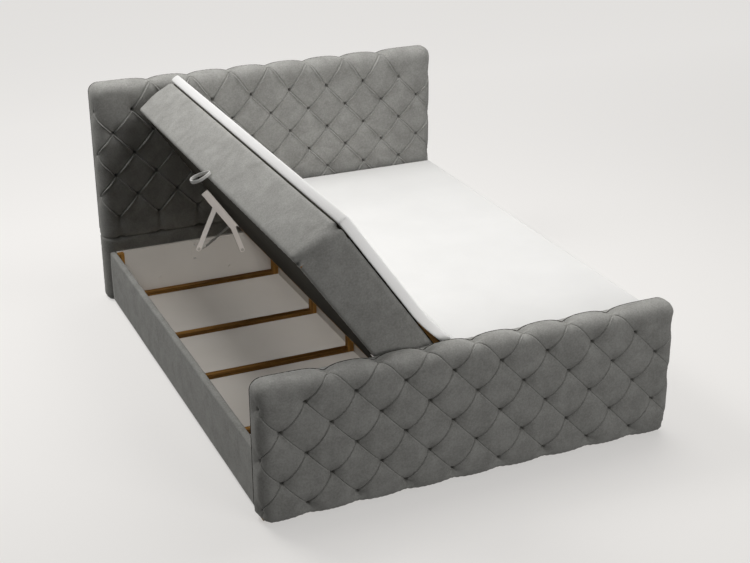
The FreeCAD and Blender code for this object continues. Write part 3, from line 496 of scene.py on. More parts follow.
class Cover:
    """Fabric over a board that faces the foot end, wrapped round its edges."""

    def __init__(self, half_width, low, high, front, sides, top, bottom, tufting):
        self.edges = [rolled_edge(*profile) for profile in (sides, top, bottom)]
        self.half_width, self.low, self.high, self.front = half_width, low, high, front
        self.inner_x = half_width - sides[0]
        self.inner_low, self.inner_high = low + bottom[0], high - top[0]
        self.depth, self.tufting = sides[1], tufting

    def place(self, x, z):
        """Where points of the unrolled fabric lie, and which of them are on it."""
        beyond_x = np.sign(x) * np.maximum(np.abs(x) - self.inner_x, 0)
        beyond_z = np.maximum(z - self.inner_high, 0) - np.maximum(self.inner_low - z, 0)
        length = np.hypot(beyond_x, beyond_z)
        safe = np.where(length > 0, length, 1)
        way_x, way_z = beyond_x / safe, beyond_z / safe
        upper, lower = np.where(way_z > 0, way_z ** 2, 0), np.where(way_z < 0, way_z ** 2, 0)
        shares = (1 - upper - lower, upper, lower)
        limit = sum(share * marks[-1] for share, (marks, _, _) in zip(shares, self.edges))
        kept = length < limit
        length = np.minimum(length, limit)
        out, back, rise, turn = np.zeros((4, len(x)))
        for share, (marks, outs, backs) in zip(shares, self.edges):
            out += share * np.interp(length, marks, outs)
            back += share * np.interp(length, marks, backs)
            nudge = np.clip(length + 1 * MM, 0, marks[-1])
            rise += share * (np.interp(nudge, marks, outs) - np.interp(nudge - 2 * MM, marks, outs))
            turn += share * (np.interp(nudge, marks, backs) - np.interp(nudge - 2 * MM, marks, backs))
        flat = length == 0
        rise[flat], turn[flat] = 1, 0
        size = np.hypot(rise, turn)
        rise, turn = rise / np.where(size > 0, size, 1), turn / np.where(size > 0, size, 1)
        # the tufting dies out before the fabric turns to the back
        hide = np.clip(1 - (back - 0.75 * self.depth) / (0.2 * self.depth), 0, 1)
        sink = (self.tufting.sink(x, z) - VELVET_PROUD) * hide
        px = np.clip(x, -self.inner_x, self.inner_x) + way_x * out - way_x * turn * sink
        pz = np.clip(z, self.inner_low, self.inner_high) + way_z * out - way_z * turn * sink
        return np.column_stack([px, self.front + back + rise * sink, pz]), kept

    def mesh(self):
        """Points and faces of the fabric, on mesh lines that follow the pleats."""
        reach = max(marks[-1] for marks, _, _ in self.edges)
        cell = TUFT_PITCH * TUFT_ROW / math.hypot(TUFT_PITCH / 2, TUFT_ROW)
        steps = np.concatenate([PLEAT_STEPS / cell, [0.5], 1 - PLEAT_STEPS[:0:-1] / cell])
        ends_x = np.array([-1, -1, 1, 1]) * (self.half_width + reach)
        ends_z = np.array([self.low - reach, self.high + reach, self.low - reach, self.high + reach])
        us, vs = (np.add.outer(np.arange(math.floor(end.min()), math.ceil(end.max())), steps).ravel()
                  for end in self.tufting.lattice(ends_x, ends_z))
        u, v = (grid.ravel() for grid in np.meshgrid(us, vs, indexing="ij"))
        points, kept = self.place(*self.tufting.plane(u, v))
        faces = np.array([face for face in grid_faces(len(us), len(vs)) if kept[list(face)].any()])
        used = np.unique(faces)
        renumber = np.zeros(len(points), int)
        renumber[used] = np.arange(len(used))
        return points[used], renumber[faces]

    def seam(self):
        """A path up one side, over the top and down the other, just before the fabric turns to the back."""
        side, top = (np.interp(self.depth - SEAM_FROM_BACK, backs, marks)
                     for marks, _, backs in self.edges[:2])
        turn = np.linspace(0, math.pi / 2, 12)[1:-1]
        rise = np.linspace(self.inner_low + SEAM_FROM_FLOOR_EDGE, self.inner_high, 90)
        across = np.linspace(-self.inner_x, self.inner_x, 240)
        length = side * np.cos(turn) ** 2 + top * np.sin(turn) ** 2
        left = np.column_stack([np.full(len(rise), -self.inner_x - side), rise])
        corner = np.column_stack([-self.inner_x - length * np.cos(turn),
                                  self.inner_high + length * np.sin(turn)])
        over = np.column_stack([across, np.full(len(across), self.inner_high + top)])
        path = np.concatenate([left, corner, over, (corner * [-1, 1])[::-1], (left * [-1, 1])[::-1]])
        return self.place(path[:, 0], path[:, 1])[0]


def board_cover(name, node, back_y, bottom, tufting, top=None, tuck=0.0):
    """Velvet over one board. Unless its top is tucked under another cover, a near-black cord follows its
    seam: the seam is real, and the cord's dark colour is painted shade in the seam.
    """
    lo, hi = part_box(node)
    sides = (BOARD_ROLL, back_y - lo.y, SIDE_BACK_ROLL, BACK_HEM)
    over = top or (*sides[:2], TOP_BACK_ROLL, BACK_HEM)
    cover = Cover(hi.x, lo.z, hi.z + tuck, lo.y, sides, over, bottom, tufting)
    obj = piece(name + "_velvet", *cover.mesh(), VELVET, "grey_velvet", "base", node)
    if not top:
        # the cord's near-black is painted shade in the seam's groove
        piece(name + "_edge_seam", *tube(cover.seam(), SEAM_SHADE_CORD), LINING, "dark_lining", "base")


def back_panel(name, node, material, slot):
    """A flat cover on the far side of a board, with round corners, lying on the velvet's hem."""
    lo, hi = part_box(node)
    corner, crown, low_gap = PANEL_CORNER, 0.4 * MM, 8 * MM
    turn = np.linspace(0, math.pi / 2, 7)
    x, low, high = hi.x - PANEL_INSET - corner, lo.z + low_gap + corner, hi.z - PANEL_INSET - corner
    quarters = ((1, high, 0), (-1, high, math.pi / 2), (-1, low, math.pi), (1, low, 1.5 * math.pi))
    rim = [(x * sx, z, math.cos(t + start), math.sin(t + start)) for sx, z, start in quarters for t in turn]
    # each ring's step in from the edge, in millimetres, and its rise in crowns
    rings = [(0, -4), (0, 1), (1, 2), (5, 2.6), (20, 3.2), (corner / MM - 1, 3.6)]
    points = []
    for step, rise in rings:
        reach = corner - step * MM
        points += [(cx + reach * c, hi.y + rise * crown, cz + reach * s) for cx, cz, c, s in rim]
    faces = grid_faces(len(rings), len(rim), loop=True)
    faces.append(tuple(range((len(rings) - 1) * len(rim), len(rings) * len(rim))))
    obj = piece(name, points, turned_over(faces), material, slot, "base", node)
    return obj, (2 * (x + corner), high - low + 2 * corner)


def make_boards():
    head_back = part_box("headboard_back_cover")[1].y
    foot_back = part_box("footboard_inner_cover")[1].y
    head_lo, head_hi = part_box("headboard_tufted_pad")
    foot_lo, foot_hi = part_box("footboard_tufted_pad")
    seam_tuck = 25 * MM
    head_tufts = Tufting(rows=(7, 10, 9, 10, 9, 10, 9), second_row_z=head_hi.z - 130.7 * MM,
                         first_gap=136 * MM, sink=13 * MM, top_sink=16 * MM, lips=(4.0, 3.2),
                         edge_reach=7 * MM)
    foot_tufts = Tufting(rows=(7, 10, 9, 10, 9, 10), second_row_z=foot_hi.z - 97.9 * MM,
                         first_gap=114 * MM, sink=24 * MM, top_sink=24 * MM, lips=(0, 1.2),
                         edge_reach=50 * MM)
    board_cover("headboard", "headboard_tufted_pad", head_back, (12 * MM, seam_tuck, 0, 0), head_tufts)
    board_cover("footboard", "footboard_tufted_pad", foot_back,
                (24 * MM, foot_back - foot_lo.y, 10 * MM, BACK_HEM), foot_tufts)
    plain = Tufting(rows=(), second_row_z=head_lo.z, first_gap=TUFT_ROW, sink=0, top_sink=0, lips=(0, 0),
                    edge_reach=1)
    board_cover("headboard_lower", "headboard_lower_band", head_back, (10 * MM, seam_tuck, 0, 0), plain,
                top=(14 * MM, seam_tuck, 0, 0), tuck=5 * MM)
    back, size = back_panel("headboard_back_lining", "headboard_back_cover", LINING, "dark_lining")
    inner, _ = back_panel("footboard_inner_velvet", "footboard_inner_cover", VELVET, "grey_velvet")


make_boards()


# Lids: drawn closed on the right, then placed on each side

LID_LO, LID_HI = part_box("right_lid_border")
LID_CORNER = 38 * MM
LID_CORNER_EASE = 30 * MM
LID_ROLL = 45 * MM
LID_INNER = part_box("right_lid_inner_board")[0].x
LID_HEM = 32 * MM


def lid_outline(inset, step=22 * MM):
    """Points round the three padded sides of a lid, from the inner foot corner to the inner head corner."""
    x_in, x_out = LID_LO.x, LID_HI.x - inset
    y_foot, y_head = LID_LO.y + inset, LID_HI.y - inset
    radius = LID_CORNER
    turn = np.linspace(0, math.pi / 2, 9)
    foot = np.linspace(x_in, x_out - radius, round((x_out - radius - x_in) / step))
    side = np.linspace(y_foot + radius, y_head - radius, round((y_head - y_foot) / step))
    path = [(x, y_foot, 0, -1) for x in foot[:-1]]
    path += [(x_out - radius + radius * math.sin(t), y_foot + radius - radius * math.cos(t),
              math.sin(t), -math.cos(t)) for t in turn]
    path += [(x_out, y, 1, 0) for y in side[1:-1]]
    path += [(x_out - radius + radius * math.cos(t), y_head - radius + radius * math.sin(t),
              math.cos(t), math.sin(t)) for t in turn]
    path += [(x, y_head, 0, 1) for x in foot[::-1][1:]]
    return np.array(path)


def border_section(height, crown, low_roll, top_roll):
    """Outward offset and height of the border fabric, from its hem below to its hem on top."""
    bend = np.linspace(0, math.pi / 2, 7)
    out = [-LID_HEM, -LID_HEM * 0.5] + list(-low_roll + low_roll * np.sin(bend))
    rise = [0.0, 0.0] + list(low_roll - low_roll * np.cos(bend))
    middle = np.linspace(low_roll, height - top_roll, 14)[1:-1]
    out += [0.0] * len(middle)
    rise += list(middle)
    out += list(-top_roll + top_roll * np.cos(bend)) + [-LID_HEM * 0.6]
    rise += list(height - top_roll + top_roll * np.sin(bend)) + [height]
    out, rise = np.array(out), np.array(rise)
    return out + crown * np.sin(math.pi * rise / height) * (out > -top_roll), rise


def make_lid_border(side):
    """The padded velvet side of a lid, a little fuller in the middle and eased in at its corners."""
    path = lid_outline(0)
    out, rise = border_section(LID_HI.z - LID_LO.z - 1 * MM, crown=5 * MM, low_roll=11 * MM,
                               top_roll=20 * MM)
    to_edge = np.abs(2 * rise / rise[-1] - 1) ** 3
    points = []
    for x, y, nx, ny in path:
        eased = out - LID_CORNER_EASE * 2 * abs(nx * ny) * to_edge
        points += [(x + nx * o, y + ny * o, LID_LO.z + r) for o, r in zip(eased, rise)]
    points = np.array(points)
    soft = bumps(points, 260 * MM)
    lean = np.repeat(path[:, 2:], len(out), axis=0)
    free = np.tile((out > -12 * MM) & (rise > 12 * MM), len(path))
    points[:, :2] += lean * (0.6 * MM * soft * free)[:, None]
    points, faces = on_side(side, points, grid_faces(len(path), len(out)))
    obj = piece(side + "_lid_velvet", points, faces, VELVET, "grey_velvet", side + "_lid",
                side + "_lid_border")


def make_lid_lining(side):
    """Dark lining over the top of the box spring, and stretched across its underside."""
    inset = 7 * MM
    edge, top = LID_HI.x - inset, LID_HI.z + 1 * MM
    bend = np.linspace(0, math.pi / 2, 10)
    roll_x = LID_INNER + LID_ROLL
    # the lining turns down 9 mm over the border's top as a dark welt; the dark line it shows between lid
    # and topper is partly the real lining and partly painted shade
    profile = [(edge, top - 9 * MM), (edge, top - 2.5 * MM), (edge - 2.5 * MM, top)]
    profile += [(x, top) for x in np.linspace(edge - 30 * MM, roll_x, 24)]
    profile += [(roll_x - LID_ROLL * math.sin(t), top - LID_ROLL + LID_ROLL * math.cos(t))
                for t in bend[1:]]
    corner = LID_CORNER + LID_CORNER_EASE
    low, high = LID_LO.y + inset, LID_HI.y - inset
    ends = corner * (1 - np.cos(bend))
    between = np.linspace(low + corner, high - corner, 50)[1:-1]
    stations = np.concatenate([low + ends, between, high - ends[::-1]])
    points = []
    for y in stations:
        short = max(corner - (y - low), corner - (high - y), 0)
        limit = edge - corner + math.sqrt(max(corner ** 2 - short ** 2, 0))
        points += [(min(x, limit), y, z) for x, z in profile]
    points, faces = on_side(side, points, grid_faces(len(stations), len(profile)))
    obj = piece(side + "_lid_top_lining", points, faces, LINING, "dark_lining", side + "_lid",
                side + "_lid_top_cover", side + "_lid_inner_roll")
    low_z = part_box("right_lid_underside")[0].z
    hem = LID_HEM - 10 * MM
    xs = np.linspace(LID_INNER + 2 * MM, LID_HI.x - hem, 40)
    ys = np.linspace(LID_LO.y + hem, LID_HI.y - hem, 121)
    slat_gaps = 9
    slat_step = (LID_HI.y - LID_LO.y) / slat_gaps
    points = [(x, y, low_z + (0.6 + 0.9 * math.sin(math.pi * (y - LID_LO.y) / slat_step) ** 2) * MM)
              for y in ys for x in xs]
    points, faces = on_side(side, points, turned_over(grid_faces(len(ys), len(xs))))
    under = piece(side + "_lid_under_lining", points, faces, LINING, "dark_lining", side + "_lid",
                  side + "_lid_underside")


def make_lid_foam(side):
    """The foam layer under the top lining, with its upper edge eased off."""
    lo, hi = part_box("right_lid_foam")
    inset, ease = 6 * MM, 18 * MM
    path = lid_outline(inset)
    bend = np.linspace(0, math.pi / 2, 6)
    section = [(0.0, lo.z)] + [(-ease + ease * math.cos(t), hi.z - ease + ease * math.sin(t)) for t in bend]
    points = []
    for out, z in section:
        for x, y, nx, ny in path:
            reach = out - LID_CORNER_EASE * 2 * abs(nx * ny)
            points.append((max(x + nx * reach, LID_INNER + LID_ROLL), y + ny * reach, z))
    points, faces = on_side(side, points, capped_tube_faces(len(section), len(path)))
    obj = piece(side + "_lid_foam_layer", points, faces, FOAM, "foam_and_felt", side + "_lid",
                side + "_lid_foam")


# Topper: one knit cover over both lids, which bends where a lid is raised

TOPPER_BOTTOM, TOPPER_TOP = (corner.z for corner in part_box("right_topper"))
FOLD_EDGE = 270 * MM
FLAT_EDGE = 12 * MM
SEAM = 0.15 * MM
TOPPER_SMOOTH = 3


def make_topper(side):
    """Half the topper as a coarse cage: its rows lie on the lid or on the level part, none between."""
    lo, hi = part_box("right_lid_border")
    outer = hi.x - 1 * MM
    foot, head = lo.y + 3 * MM, hi.y - 3 * MM
    top, bottom = TOPPER_TOP, TOPPER_BOTTOM + 1.4 * MM
    soft = 6 * MM
    columns = [SEAM, 1.5 * MM, FLAT_EDGE] + list(np.linspace(FOLD_EDGE, outer - 3 * soft, 8))
    columns.append(outer - soft)
    rows = [foot + soft] + list(np.linspace(foot + 3 * soft, head - 3 * soft, 16)) + [head - soft]
    heights = [bottom, bottom + 5 * MM, top - 6 * MM, top]
    points, faces, index = [], [], {}

    def corner(c, r, h):
        key = (c, r, h)
        if key not in index:
            x = outer if c == len(columns) else columns[c]
            y = foot if r < 0 else head if r == len(rows) else rows[r]
            index[key] = len(points)
            points.append((x, y, heights[h]))
        return index[key]

    last_c, last_r, last_h = len(columns) - 1, len(rows) - 1, len(heights) - 1
    for c in range(last_c):
        for r in range(last_r):
            faces.append([corner(c, r, last_h), corner(c + 1, r, last_h), corner(c + 1, r + 1, last_h),
                          corner(c, r + 1, last_h)])
            faces.append([corner(c, r + 1, 0), corner(c + 1, r + 1, 0), corner(c + 1, r, 0),
                          corner(c, r, 0)])

    def rim(c, r, h):
        """The outer wall stands one step outside the top and bottom sheets."""
        if h in (0, last_h):
            return corner(c, r, h)
        return corner(c + (c == last_c), -1 if r == 0 else r + (r == last_r), h)

    walk = [(c, 0) for c in range(last_c)] + [(last_c, r) for r in range(last_r)]
    walk += [(c, last_r) for c in range(last_c, -1, -1)]
    for (c0, r0), (c1, r1) in zip(walk, walk[1:]):
        for h in range(last_h):
            faces.append([rim(c0, r0, h), rim(c1, r1, h), rim(c1, r1, h + 1), rim(c0, r0, h + 1)])
    for r in range(last_r):
        for h in range(last_h):
            faces.append([rim(0, r + 1, h), rim(0, r, h), rim(0, r, h + 1), rim(0, r + 1, h + 1)])
    points = np.array(points)
    lifted = points[:, 0] > 0.5 * (FLAT_EDGE + FOLD_EDGE)
    placed, faces = on_side(side, points, faces)
    if side == "left":
        placed[~lifted] = points[~lifted] * [-1, 1, 1]
    obj = piece(side + "_topper_knit", placed, faces, KNIT, "white_topper")
    crease = obj.data.attributes.new("crease_edge", "FLOAT", "EDGE")
    for edge in obj.data.edges:
        crease.data[edge.index].value = float(max(points[i, 0] for i in edge.vertices) == SEAM)
    smooth = obj.modifiers.new("soft_fill", "SUBSURF")
    smooth.levels = TOPPER_SMOOTH
    smooth.render_levels = TOPPER_SMOOTH
    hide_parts(side + "_topper", side + "_topper_fold")
    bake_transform(obj)


# Side covers and pull loops


def make_side_cover(side):
    """Velvet wrapped over a side board, with rounded top edges."""
    lo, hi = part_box("right_side_cover")
    top_roll, foot_roll = 8 * MM, 4 * MM
    bend = np.linspace(0, math.pi / 2, 6)
    profile = []
    for x, z, radius, start in ((lo.x, lo.z, foot_roll, math.pi), (hi.x, lo.z, foot_roll, 1.5 * math.pi),
                                (hi.x, hi.z, top_roll, 0.0), (lo.x, hi.z, top_roll, 0.5 * math.pi)):
        cx = x + radius if x == lo.x else x - radius
        cz = z + radius if z == lo.z else z - radius
        profile += [(cx + radius * math.cos(start + t), cz + radius * math.sin(start + t)) for t in bend]
        if start == 1.5 * math.pi:
            profile += [(hi.x, z) for z in np.linspace(lo.z + 3 * foot_roll, hi.z - 2 * top_roll, 12)]
    stations = np.linspace(lo.y + 1 * MM, hi.y - 1 * MM, 80)
    points = np.array([(x, y, z) for y in stations for x, z in profile])
    outer = points[:, 0] > hi.x - 1 * MM
    fullness = np.sin(math.pi * np.clip((points[:, 2] - lo.z) / (hi.z - lo.z), 0, 1))
    points[:, 0] += outer * (2.0 * MM * fullness + 0.6 * MM * bumps(points, 300 * MM))
    faces = turned_over(capped_tube_faces(len(stations), len(profile)))
    points, faces = mirrored(side, points, faces)
    obj = piece(side + "_side_velvet", points, faces, VELVET, "grey_velvet", "base", side + "_side_cover")


def make_pull_loop(side):
    """Flat tape sewn by both ends under the lid's lower edge, standing off it as an open oval."""
    lo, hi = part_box("right_pull_loop")
    width, thick = 14 * MM, 2.6 * MM
    middle, reach = 0.5 * (lo.y + hi.y), hi.z - lo.z - 0.5 * thick
    half = 0.5 * (hi.y - lo.y) - 0.5 * thick
    lean = math.radians(16)
    turn = np.linspace(0, 2 * math.pi, 61)
    path = np.column_stack([-half * np.sin(turn) * np.sin(0.5 * turn) ** 0.7,
                            0.5 * reach * (1 - np.cos(turn))])
    heading = np.gradient(path, axis=0)
    heading /= np.linalg.norm(heading, axis=1)[:, None]
    section = []
    for t in np.linspace(0, 2 * math.pi, 24, endpoint=False):
        c, s = math.cos(t), math.sin(t)
        section.append((0.5 * width * math.copysign(abs(c) ** 0.25, c),
                        0.5 * thick * math.copysign(abs(s) ** 0.6, s)))
    start_x, start_z = LID_HI.x + 4 * MM + 0.5 * width, hi.z
    points = []
    for (y, down), (hy, hd) in zip(path, heading):
        for a, b in section:
            drop, out = down - hy * b, a
            points.append((start_x + out * math.cos(lean) + drop * math.sin(lean), middle + y + hd * b,
                           start_z - drop * math.cos(lean) + out * math.sin(lean)))
    points, faces = on_side(side, points, capped_tube_faces(len(path), len(section)))
    piece(side + "_pull_tape", points, faces, WEBBING, "webbing", side + "_lid", side + "_pull_loop")


for side in SIDES:
    make_lid_border(side)
    make_lid_lining(side)
    make_lid_foam(side)
    make_topper(side)
    make_side_cover(side)
    make_pull_loop(side)


# Springs and staples, grown by node trees


def open_tree(name, sizes):
    """An empty geometry tree with a named input for each size."""
    tree = bpy.data.node_groups.new(name, "GeometryNodeTree")
    tree.interface.new_socket("Geometry", in_out="INPUT", socket_type="NodeSocketGeometry")
    for size in sizes:
        tree.interface.new_socket(size, in_out="INPUT", socket_type="NodeSocketFloat")
    tree.interface.new_socket("Geometry", in_out="OUTPUT", socket_type="NodeSocketGeometry")
    return tree, add(tree, "NodeGroupInput").outputs


def close_tree(tree, geometry, material):
    """The nodes that end a tree: real geometry in one material."""
    real = add(tree, "GeometryNodeRealizeInstances", {"Geometry": geometry})
    painted = add(tree, "GeometryNodeSetMaterial", {"Geometry": real.outputs[0], "Material": material})
    add(tree, "NodeGroupOutput", {"Geometry": painted.outputs[0]})
    return tree


def grown(tree, sizes, points=(), edges=()):
    """Points and faces of the plain mesh that a tree makes from a path of edges and its sizes."""
    mesh = bpy.data.meshes.new("seed")
    mesh.from_pydata([tuple(p) for p in points], list(edges), [])
    seed = bpy.data.objects.new("seed", mesh)
    bpy.context.scene.collection.objects.link(seed)
    modifier = seed.modifiers.new("grow", "NODES")
    modifier.node_group = tree
    for item in tree.interface.items_tree:
        if item.in_out == "INPUT" and item.name in sizes:
            modifier[item.identifier] = sizes[item.name]
    result = bpy.data.meshes.new_from_object(seed.evaluated_get(bpy.context.evaluated_depsgraph_get()))
    made = np.array([v.co[:] for v in result.vertices]), [tuple(p.vertices) for p in result.polygons]
    bpy.data.objects.remove(seed)
    bpy.data.meshes.remove(result)
    return made


def coil_tree():
    """A close-wound coil of round wire, standing on its start."""
    tree, size = open_tree("coil_spring", ("Turns", "Coil Radius", "Length", "Wire Radius"))
    spiral = add(tree, "GeometryNodeCurveSpiral", {"Resolution": 14, "Rotations": size["Turns"],
                                                   "Start Radius": size["Coil Radius"],
                                                   "End Radius": size["Coil Radius"],
                                                   "Height": size["Length"]})
    ring = add(tree, "GeometryNodeCurvePrimitiveCircle", {"Resolution": 7, "Radius": size["Wire Radius"]})
    wire = add(tree, "GeometryNodeCurveToMesh", {"Curve": spiral.outputs[0],
                                                 "Profile Curve": ring.outputs[0], "Fill Caps": True})
    return close_tree(tree, wire.outputs[0], ZINC)


def staple_tree():
    """Staple crowns laid end to end along a path, one at each spacing."""
    tree, size = open_tree("staple_row", ("Spacing", "Crown", "Wire"))
    path = add(tree, "GeometryNodeMeshToCurve", {"Mesh": size["Geometry"]})
    spots = add(tree, "GeometryNodeCurveToPoints", {"Curve": path.outputs[0], "Length": size["Spacing"]},
                mode="LENGTH")
    along = add(tree, "FunctionNodeAlignRotationToVector", {"Vector": spots.outputs["Tangent"]}, axis="X")
    extent = add(tree, "ShaderNodeCombineXYZ", {"X": size["Crown"], "Y": size["Wire"], "Z": size["Wire"]})
    crown = add(tree, "GeometryNodeMeshCube", {"Size": extent.outputs[0]})
    rows = add(tree, "GeometryNodeInstanceOnPoints", {"Points": spots.outputs["Points"],
                                                      "Instance": crown.outputs["Mesh"],
                                                      "Rotation": along.outputs[0]})
    return close_tree(tree, rows.outputs[0], ZINC)


COIL = coil_tree()
STAPLES = staple_tree()
SPRING_HOOK = np.array([377.9023, 210.5888]) * MM
SPRING_PIN_CLOSED = np.array([61.5, 235.1]) * MM
SPRING_PIN_OPEN = np.array([235.4848, 310.6784]) * MM


def make_springs(side):
    """A tension spring for each of a lid's two fittings, from the wall plate to the short arm's pin."""
    pin = SPRING_PIN_CLOSED if side == "right" else SPRING_PIN_OPEN
    lo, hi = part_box("right_lift_springs")
    coil_radius, wire_radius, hook_length = 5.6 * MM, 1.25 * MM, 16 * MM
    eye_radius, inset = 7 * MM, 6.9 * MM
    span = np.linalg.norm(pin - SPRING_HOOK)
    ahead = (pin - SPRING_HOOK) / span
    up = np.array([-ahead[1], ahead[0]])
    shut, open_span = (np.linalg.norm(p - SPRING_HOOK) for p in (SPRING_PIN_CLOSED, SPRING_PIN_OPEN))
    # the right spring shortens as its lid opens, so its eyes are drawn long to come out round
    stretch = shut / open_span if side == "right" else 1.0
    sizes = {"Turns": 34.0, "Coil Radius": coil_radius, "Length": span - 2 * hook_length,
             "Wire Radius": wire_radius}
    coil, coil_faces = grown(COIL, sizes)
    points, faces = [], []
    for y in (lo.y + inset, hi.y - inset):
        along = coil[:, 2] + hook_length
        flat = SPRING_HOOK + np.outer(along, ahead) + np.outer(coil[:, 0], up)
        parts = [(np.column_stack([flat[:, 0], y + coil[:, 1], flat[:, 1]]), coil_faces)]
        for start, way in ((SPRING_HOOK, 1), (pin, -1)):
            bend = np.linspace(-0.6 * math.pi, math.pi, 14)
            eye = [start + eye_radius * (way * -math.cos(t) * stretch * ahead + math.sin(t) * up)
                   for t in bend]
            eye.append(start + way * (hook_length + 1 * MM) * ahead + coil_radius * up * 0.6)
            parts.append(tube([(p[0], y, p[1]) for p in eye], wire_radius))
        for part, part_faces in parts:
            faces += [tuple(i + len(points) for i in f) for f in part_faces]
            points += [tuple(p) for p in part]
    points, faces = mirrored(side, points, faces)
    obj = piece(side + "_coil_springs", points, faces, ZINC, "spring_steel", side + "_lift_springs",
                side + "_lift_springs")
    if side == "right":
        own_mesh(obj)


def make_staples():
    """Staple rows along the lining's edge on the headboard's back and under each lid."""
    sizes = {"Spacing": 45 * MM, "Crown": 10 * MM, "Wire": 1.1 * MM}
    lo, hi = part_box("headboard_back_cover")
    round_trip = [(0, 1), (1, 2), (2, 3), (3, 0)]
    inset, y = 44 * MM, hi.y + 1.1 * MM
    corners = [(lo.x + inset, y, lo.z + inset), (hi.x - inset, y, lo.z + inset),
               (hi.x - inset, y, hi.z - inset), (lo.x + inset, y, hi.z - inset)]
    points, faces = grown(STAPLES, sizes, corners, round_trip)
    piece("headboard_staples", points, faces, ZINC, "zinc_steel", "base")
    inset, inner, z = LID_HEM + 2 * MM, LID_INNER + 8 * MM, LID_LO.z + 0.4 * MM
    corners = [(inner, LID_LO.y + inset, z), (LID_HI.x - inset, LID_LO.y + inset, z),
               (LID_HI.x - inset, LID_HI.y - inset, z), (inner, LID_HI.y - inset, z)]
    points, faces = grown(STAPLES, sizes, corners, round_trip)
    for side in SIDES:
        placed, turned = on_side(side, points, faces)
        piece(side + "_lid_staples", placed, turned, ZINC, "zinc_steel", side + "_lid")


for side in SIDES:
    make_springs(side)
make_staples()


# Looks of the pieces that keep the solid's own shape


def dress(material, *nodes):
    """Give solids a material."""
    for name in nodes:
        mesh = frame["nodes"][name].data
        mesh.materials.clear()
        mesh.materials.append(material)


dress(MELAMINE, "head_wall", "foot_wall", "centre_wall", "left_floor", "right_floor")
dress(PINE_ACROSS, "headboard_frame", "footboard_frame")
dress(CHIPBOARD, "headboard_panel", "footboard_panel")
dress(MELAMINE, "bed_bolts")
dress(ZINC, "lift_plate_screws")
dress(NYLON, "glides")
for side in SIDES:
    dress(PINE_ACROSS, side + "_floor_battens", side + "_lid_frame")
    dress(PINE_UPRIGHT, side + "_centre_posts", side + "_side_posts")
    dress(PINE_ALONG, side + "_lid_inner_board")
    dress(CHIPBOARD, side + "_side_board")
    dress(MELAMINE, side + "_lift_plates")
    dress(PAINTED_STEEL, *(side + part for part in ("_lift_bars", "_short_arms", "_long_arms")))
    dress(FOAM, side + "_lid_pocket_coils")


# Floor, light and camera


def make_floor():
    half = 40.0
    corners = [(-half, -half, 0), (half, -half, 0), (half, half, 0), (-half, half, 0)]
    floor = piece("floor", corners, [(0, 1, 2, 3)], pale_floor())
    floor.visible_diffuse = False


def make_sky():
    """A soft dome, brighter behind the headboard than in front of the bed."""
    sky = bpy.data.worlds.new("studio")
    bpy.context.scene.world = sky
    sky.use_nodes = True
    tree = sky.node_tree
    tree.nodes.clear()
    direction = add(tree, "ShaderNodeTexCoord").outputs["Generated"]
    way = add(tree, "ShaderNodeSeparateXYZ", {"Vector": direction})
    height = add(tree, "ShaderNodeMapRange", {"Value": way.outputs["Z"], "From Min": -1.0})
    dome = add(tree, "ShaderNodeValToRGB", {"Fac": height.outputs[0]})
    ramp = dome.color_ramp
    ramp.elements[0].position, ramp.elements[1].position = 0.48, 1.0
    ramp.elements[0].color, ramp.elements[1].color = (0.31, 0.308, 0.305, 1), (0.50, 0.50, 0.495, 1)
    ramp.elements.new(0.52).color = (0.13, 0.13, 0.128, 1)
    behind = add(tree, "ShaderNodeMapRange", {"Value": way.outputs["Y"], "From Min": -0.5, "From Max": 0.5,
                                              "To Min": 0.15, "To Max": 1.6})
    light = add(tree, "ShaderNodeBackground", {"Color": dome.outputs[0], "Strength": behind.outputs[0]})
    # a camera or a gloss sees a plain pale wall instead of the lights
    wall = add(tree, "ShaderNodeBackground", {"Color": srgb("#c6c5c3")})
    ray = add(tree, "ShaderNodeLightPath").outputs
    gloss = add(tree, "ShaderNodeMath", {0: ray["Is Glossy Ray"], 1: ray["Is Transmission Ray"]})
    seen = add(tree, "ShaderNodeMath", {0: ray["Is Camera Ray"], 1: gloss.outputs[0]}, use_clamp=True)
    shown = add(tree, "ShaderNodeMixShader", {0: seen.outputs[0], 1: light.outputs[0], 2: wall.outputs[0]})
    add(tree, "ShaderNodeOutputWorld", {"Surface": shown.outputs[0]})


def make_lamps():
    """Soft light over the whole bed, and lamps that reach only what the raised lid leaves dark."""
    solid, made = frame["nodes"], bpy.data.objects
    low_floor = [solid["left_floor"], solid["left_floor_battens"]]
    walls = [solid[name] for name in ("head_wall", "bed_bolts", "left_floor", "left_side_posts",
                                      "left_centre_posts", "left_lift_plates", "left_lift_bars",
                                      "left_short_arms", "left_long_arms", "left_lid_inner_board",
                                      "right_lid_inner_board")]
    screens = [made["footboard_velvet"], made["left_side_velvet"]]
    toppers = [made[side + "_topper_knit"] for side in SIDES]
    softbox("overhead_softbox", (1.1, -0.1, 3.2), (0.2, 0.2, 0.4), size=1.6, watts=42)
    softbox("front_softbox", (1.3, -5.2, 2.2), (0, -0.8, 0.4), size=2.4, watts=80)
    back = softbox("back_softbox", (-1.55, 1.15, 3.4), (-0.6, 0.3, 0.3), size=1.3, watts=60)
    light_only(back, "receiver", low_floor, "EXCLUDE")
    over_floor = softbox("floor_softbox", (-0.8, 0.1, 2.8), (-0.75, 0.1, 0), size=0.9, watts=42)
    light_only(over_floor, "receiver", low_floor)
    edge = softbox("edge_softbox", (1.3, -5.0, 1.0), (-0.2, -1, 0.6), size=1.6, watts=92)
    light_only(edge, "receiver", toppers)
    inside = softbox("inside_softbox", (-1.6, -4.2, 2.3), (-0.5, 0.9, 0.1), size=1.4, watts=112)
    light_only(inside, "receiver", walls)
    light_only(inside, "blocker", walls + screens)
    under = softbox("under_softbox", (-3.6, 0.2, 1.5), (-0.2, 0.2, 0), size=1.0, watts=108)
    light_only(under, "receiver", low_floor[:1])
    light_only(under, "blocker", low_floor + screens)


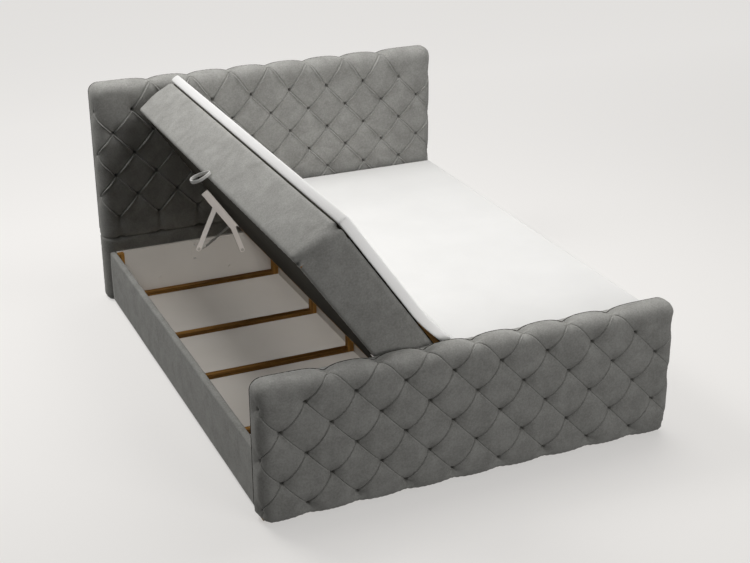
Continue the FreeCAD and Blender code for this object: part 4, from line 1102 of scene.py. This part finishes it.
def light_only(lamp, kind, members, state="INCLUDE"):
    """Keep a lamp's light, or what blocks it, to some objects, or keep those out of it."""
    kept = bpy.data.collections.new(lamp.name + "_" + kind)
    for member in members:
        kept.objects.link(member)
    for entry in kept.collection_objects:
        entry.light_linking.link_state = state
    setattr(lamp.light_linking, kind + "_collection", kept)


def softbox(name, place, target, size, watts):
    """A square soft lamp that faces its target."""
    lamp = bpy.data.lights.new(name, "AREA")
    lamp.shape = "SQUARE"
    lamp.size = size
    lamp.energy = watts
    holder = bpy.data.objects.new(name, lamp)
    holder.location = place
    holder.rotation_euler = (Vector(place) - Vector(target)).to_track_quat("Z", "Y").to_euler()
    bpy.context.scene.collection.objects.link(holder)
    return holder


def pale_floor():
    """A seamless paper sweep: pale, with a painted glow that grows from near to far on top of the lamps'
    light.
    """
    material, tree, place = new_material("pale_floor")
    parts = add(tree, "ShaderNodeSeparateXYZ", {"Vector": place})
    # painted glow: emission rising from the near end to the far end, standing in for studio light on the
    # sweep
    painted_glow = add(tree, "ShaderNodeMapRange", {"Value": parts.outputs["Y"], "From Min": -3.0, "From Max": 4.0,
                                            "To Min": 0.39, "To Max": 0.62})
    surface(tree, {"Base Color": srgb("#a8a6a3"), "Roughness": 0.9, "Specular IOR Level": 0.0,
                   "Emission Color": srgb("#fffdfb"), "Emission Strength": painted_glow.outputs[0]})
    return material


def make_camera():
    """The photograph's view, fitted to the tufts of both boards."""
    place = Vector((-2.2065, -5.1737, 2.8007))
    yaw, pitch, roll = (math.radians(a) for a in (23.886, 23.467, -0.22))
    ahead = Vector((math.sin(yaw) * math.cos(pitch), math.cos(yaw) * math.cos(pitch), -math.sin(pitch)))
    data = bpy.data.cameras.new("camera")
    data.lens = 68.43
    data.sensor_width = 36.0
    camera = bpy.data.objects.new("camera", data)
    camera.location = place
    camera.rotation_mode = "QUATERNION"
    camera.rotation_quaternion = ahead.to_track_quat("-Z", "Y") @ Quaternion((0, 0, 1), roll)
    bpy.context.scene.collection.objects.link(camera)
    bpy.context.scene.camera = camera


make_floor()
make_sky()
make_lamps()
make_camera()
bpy.context.scene.view_settings.view_transform = "Standard"
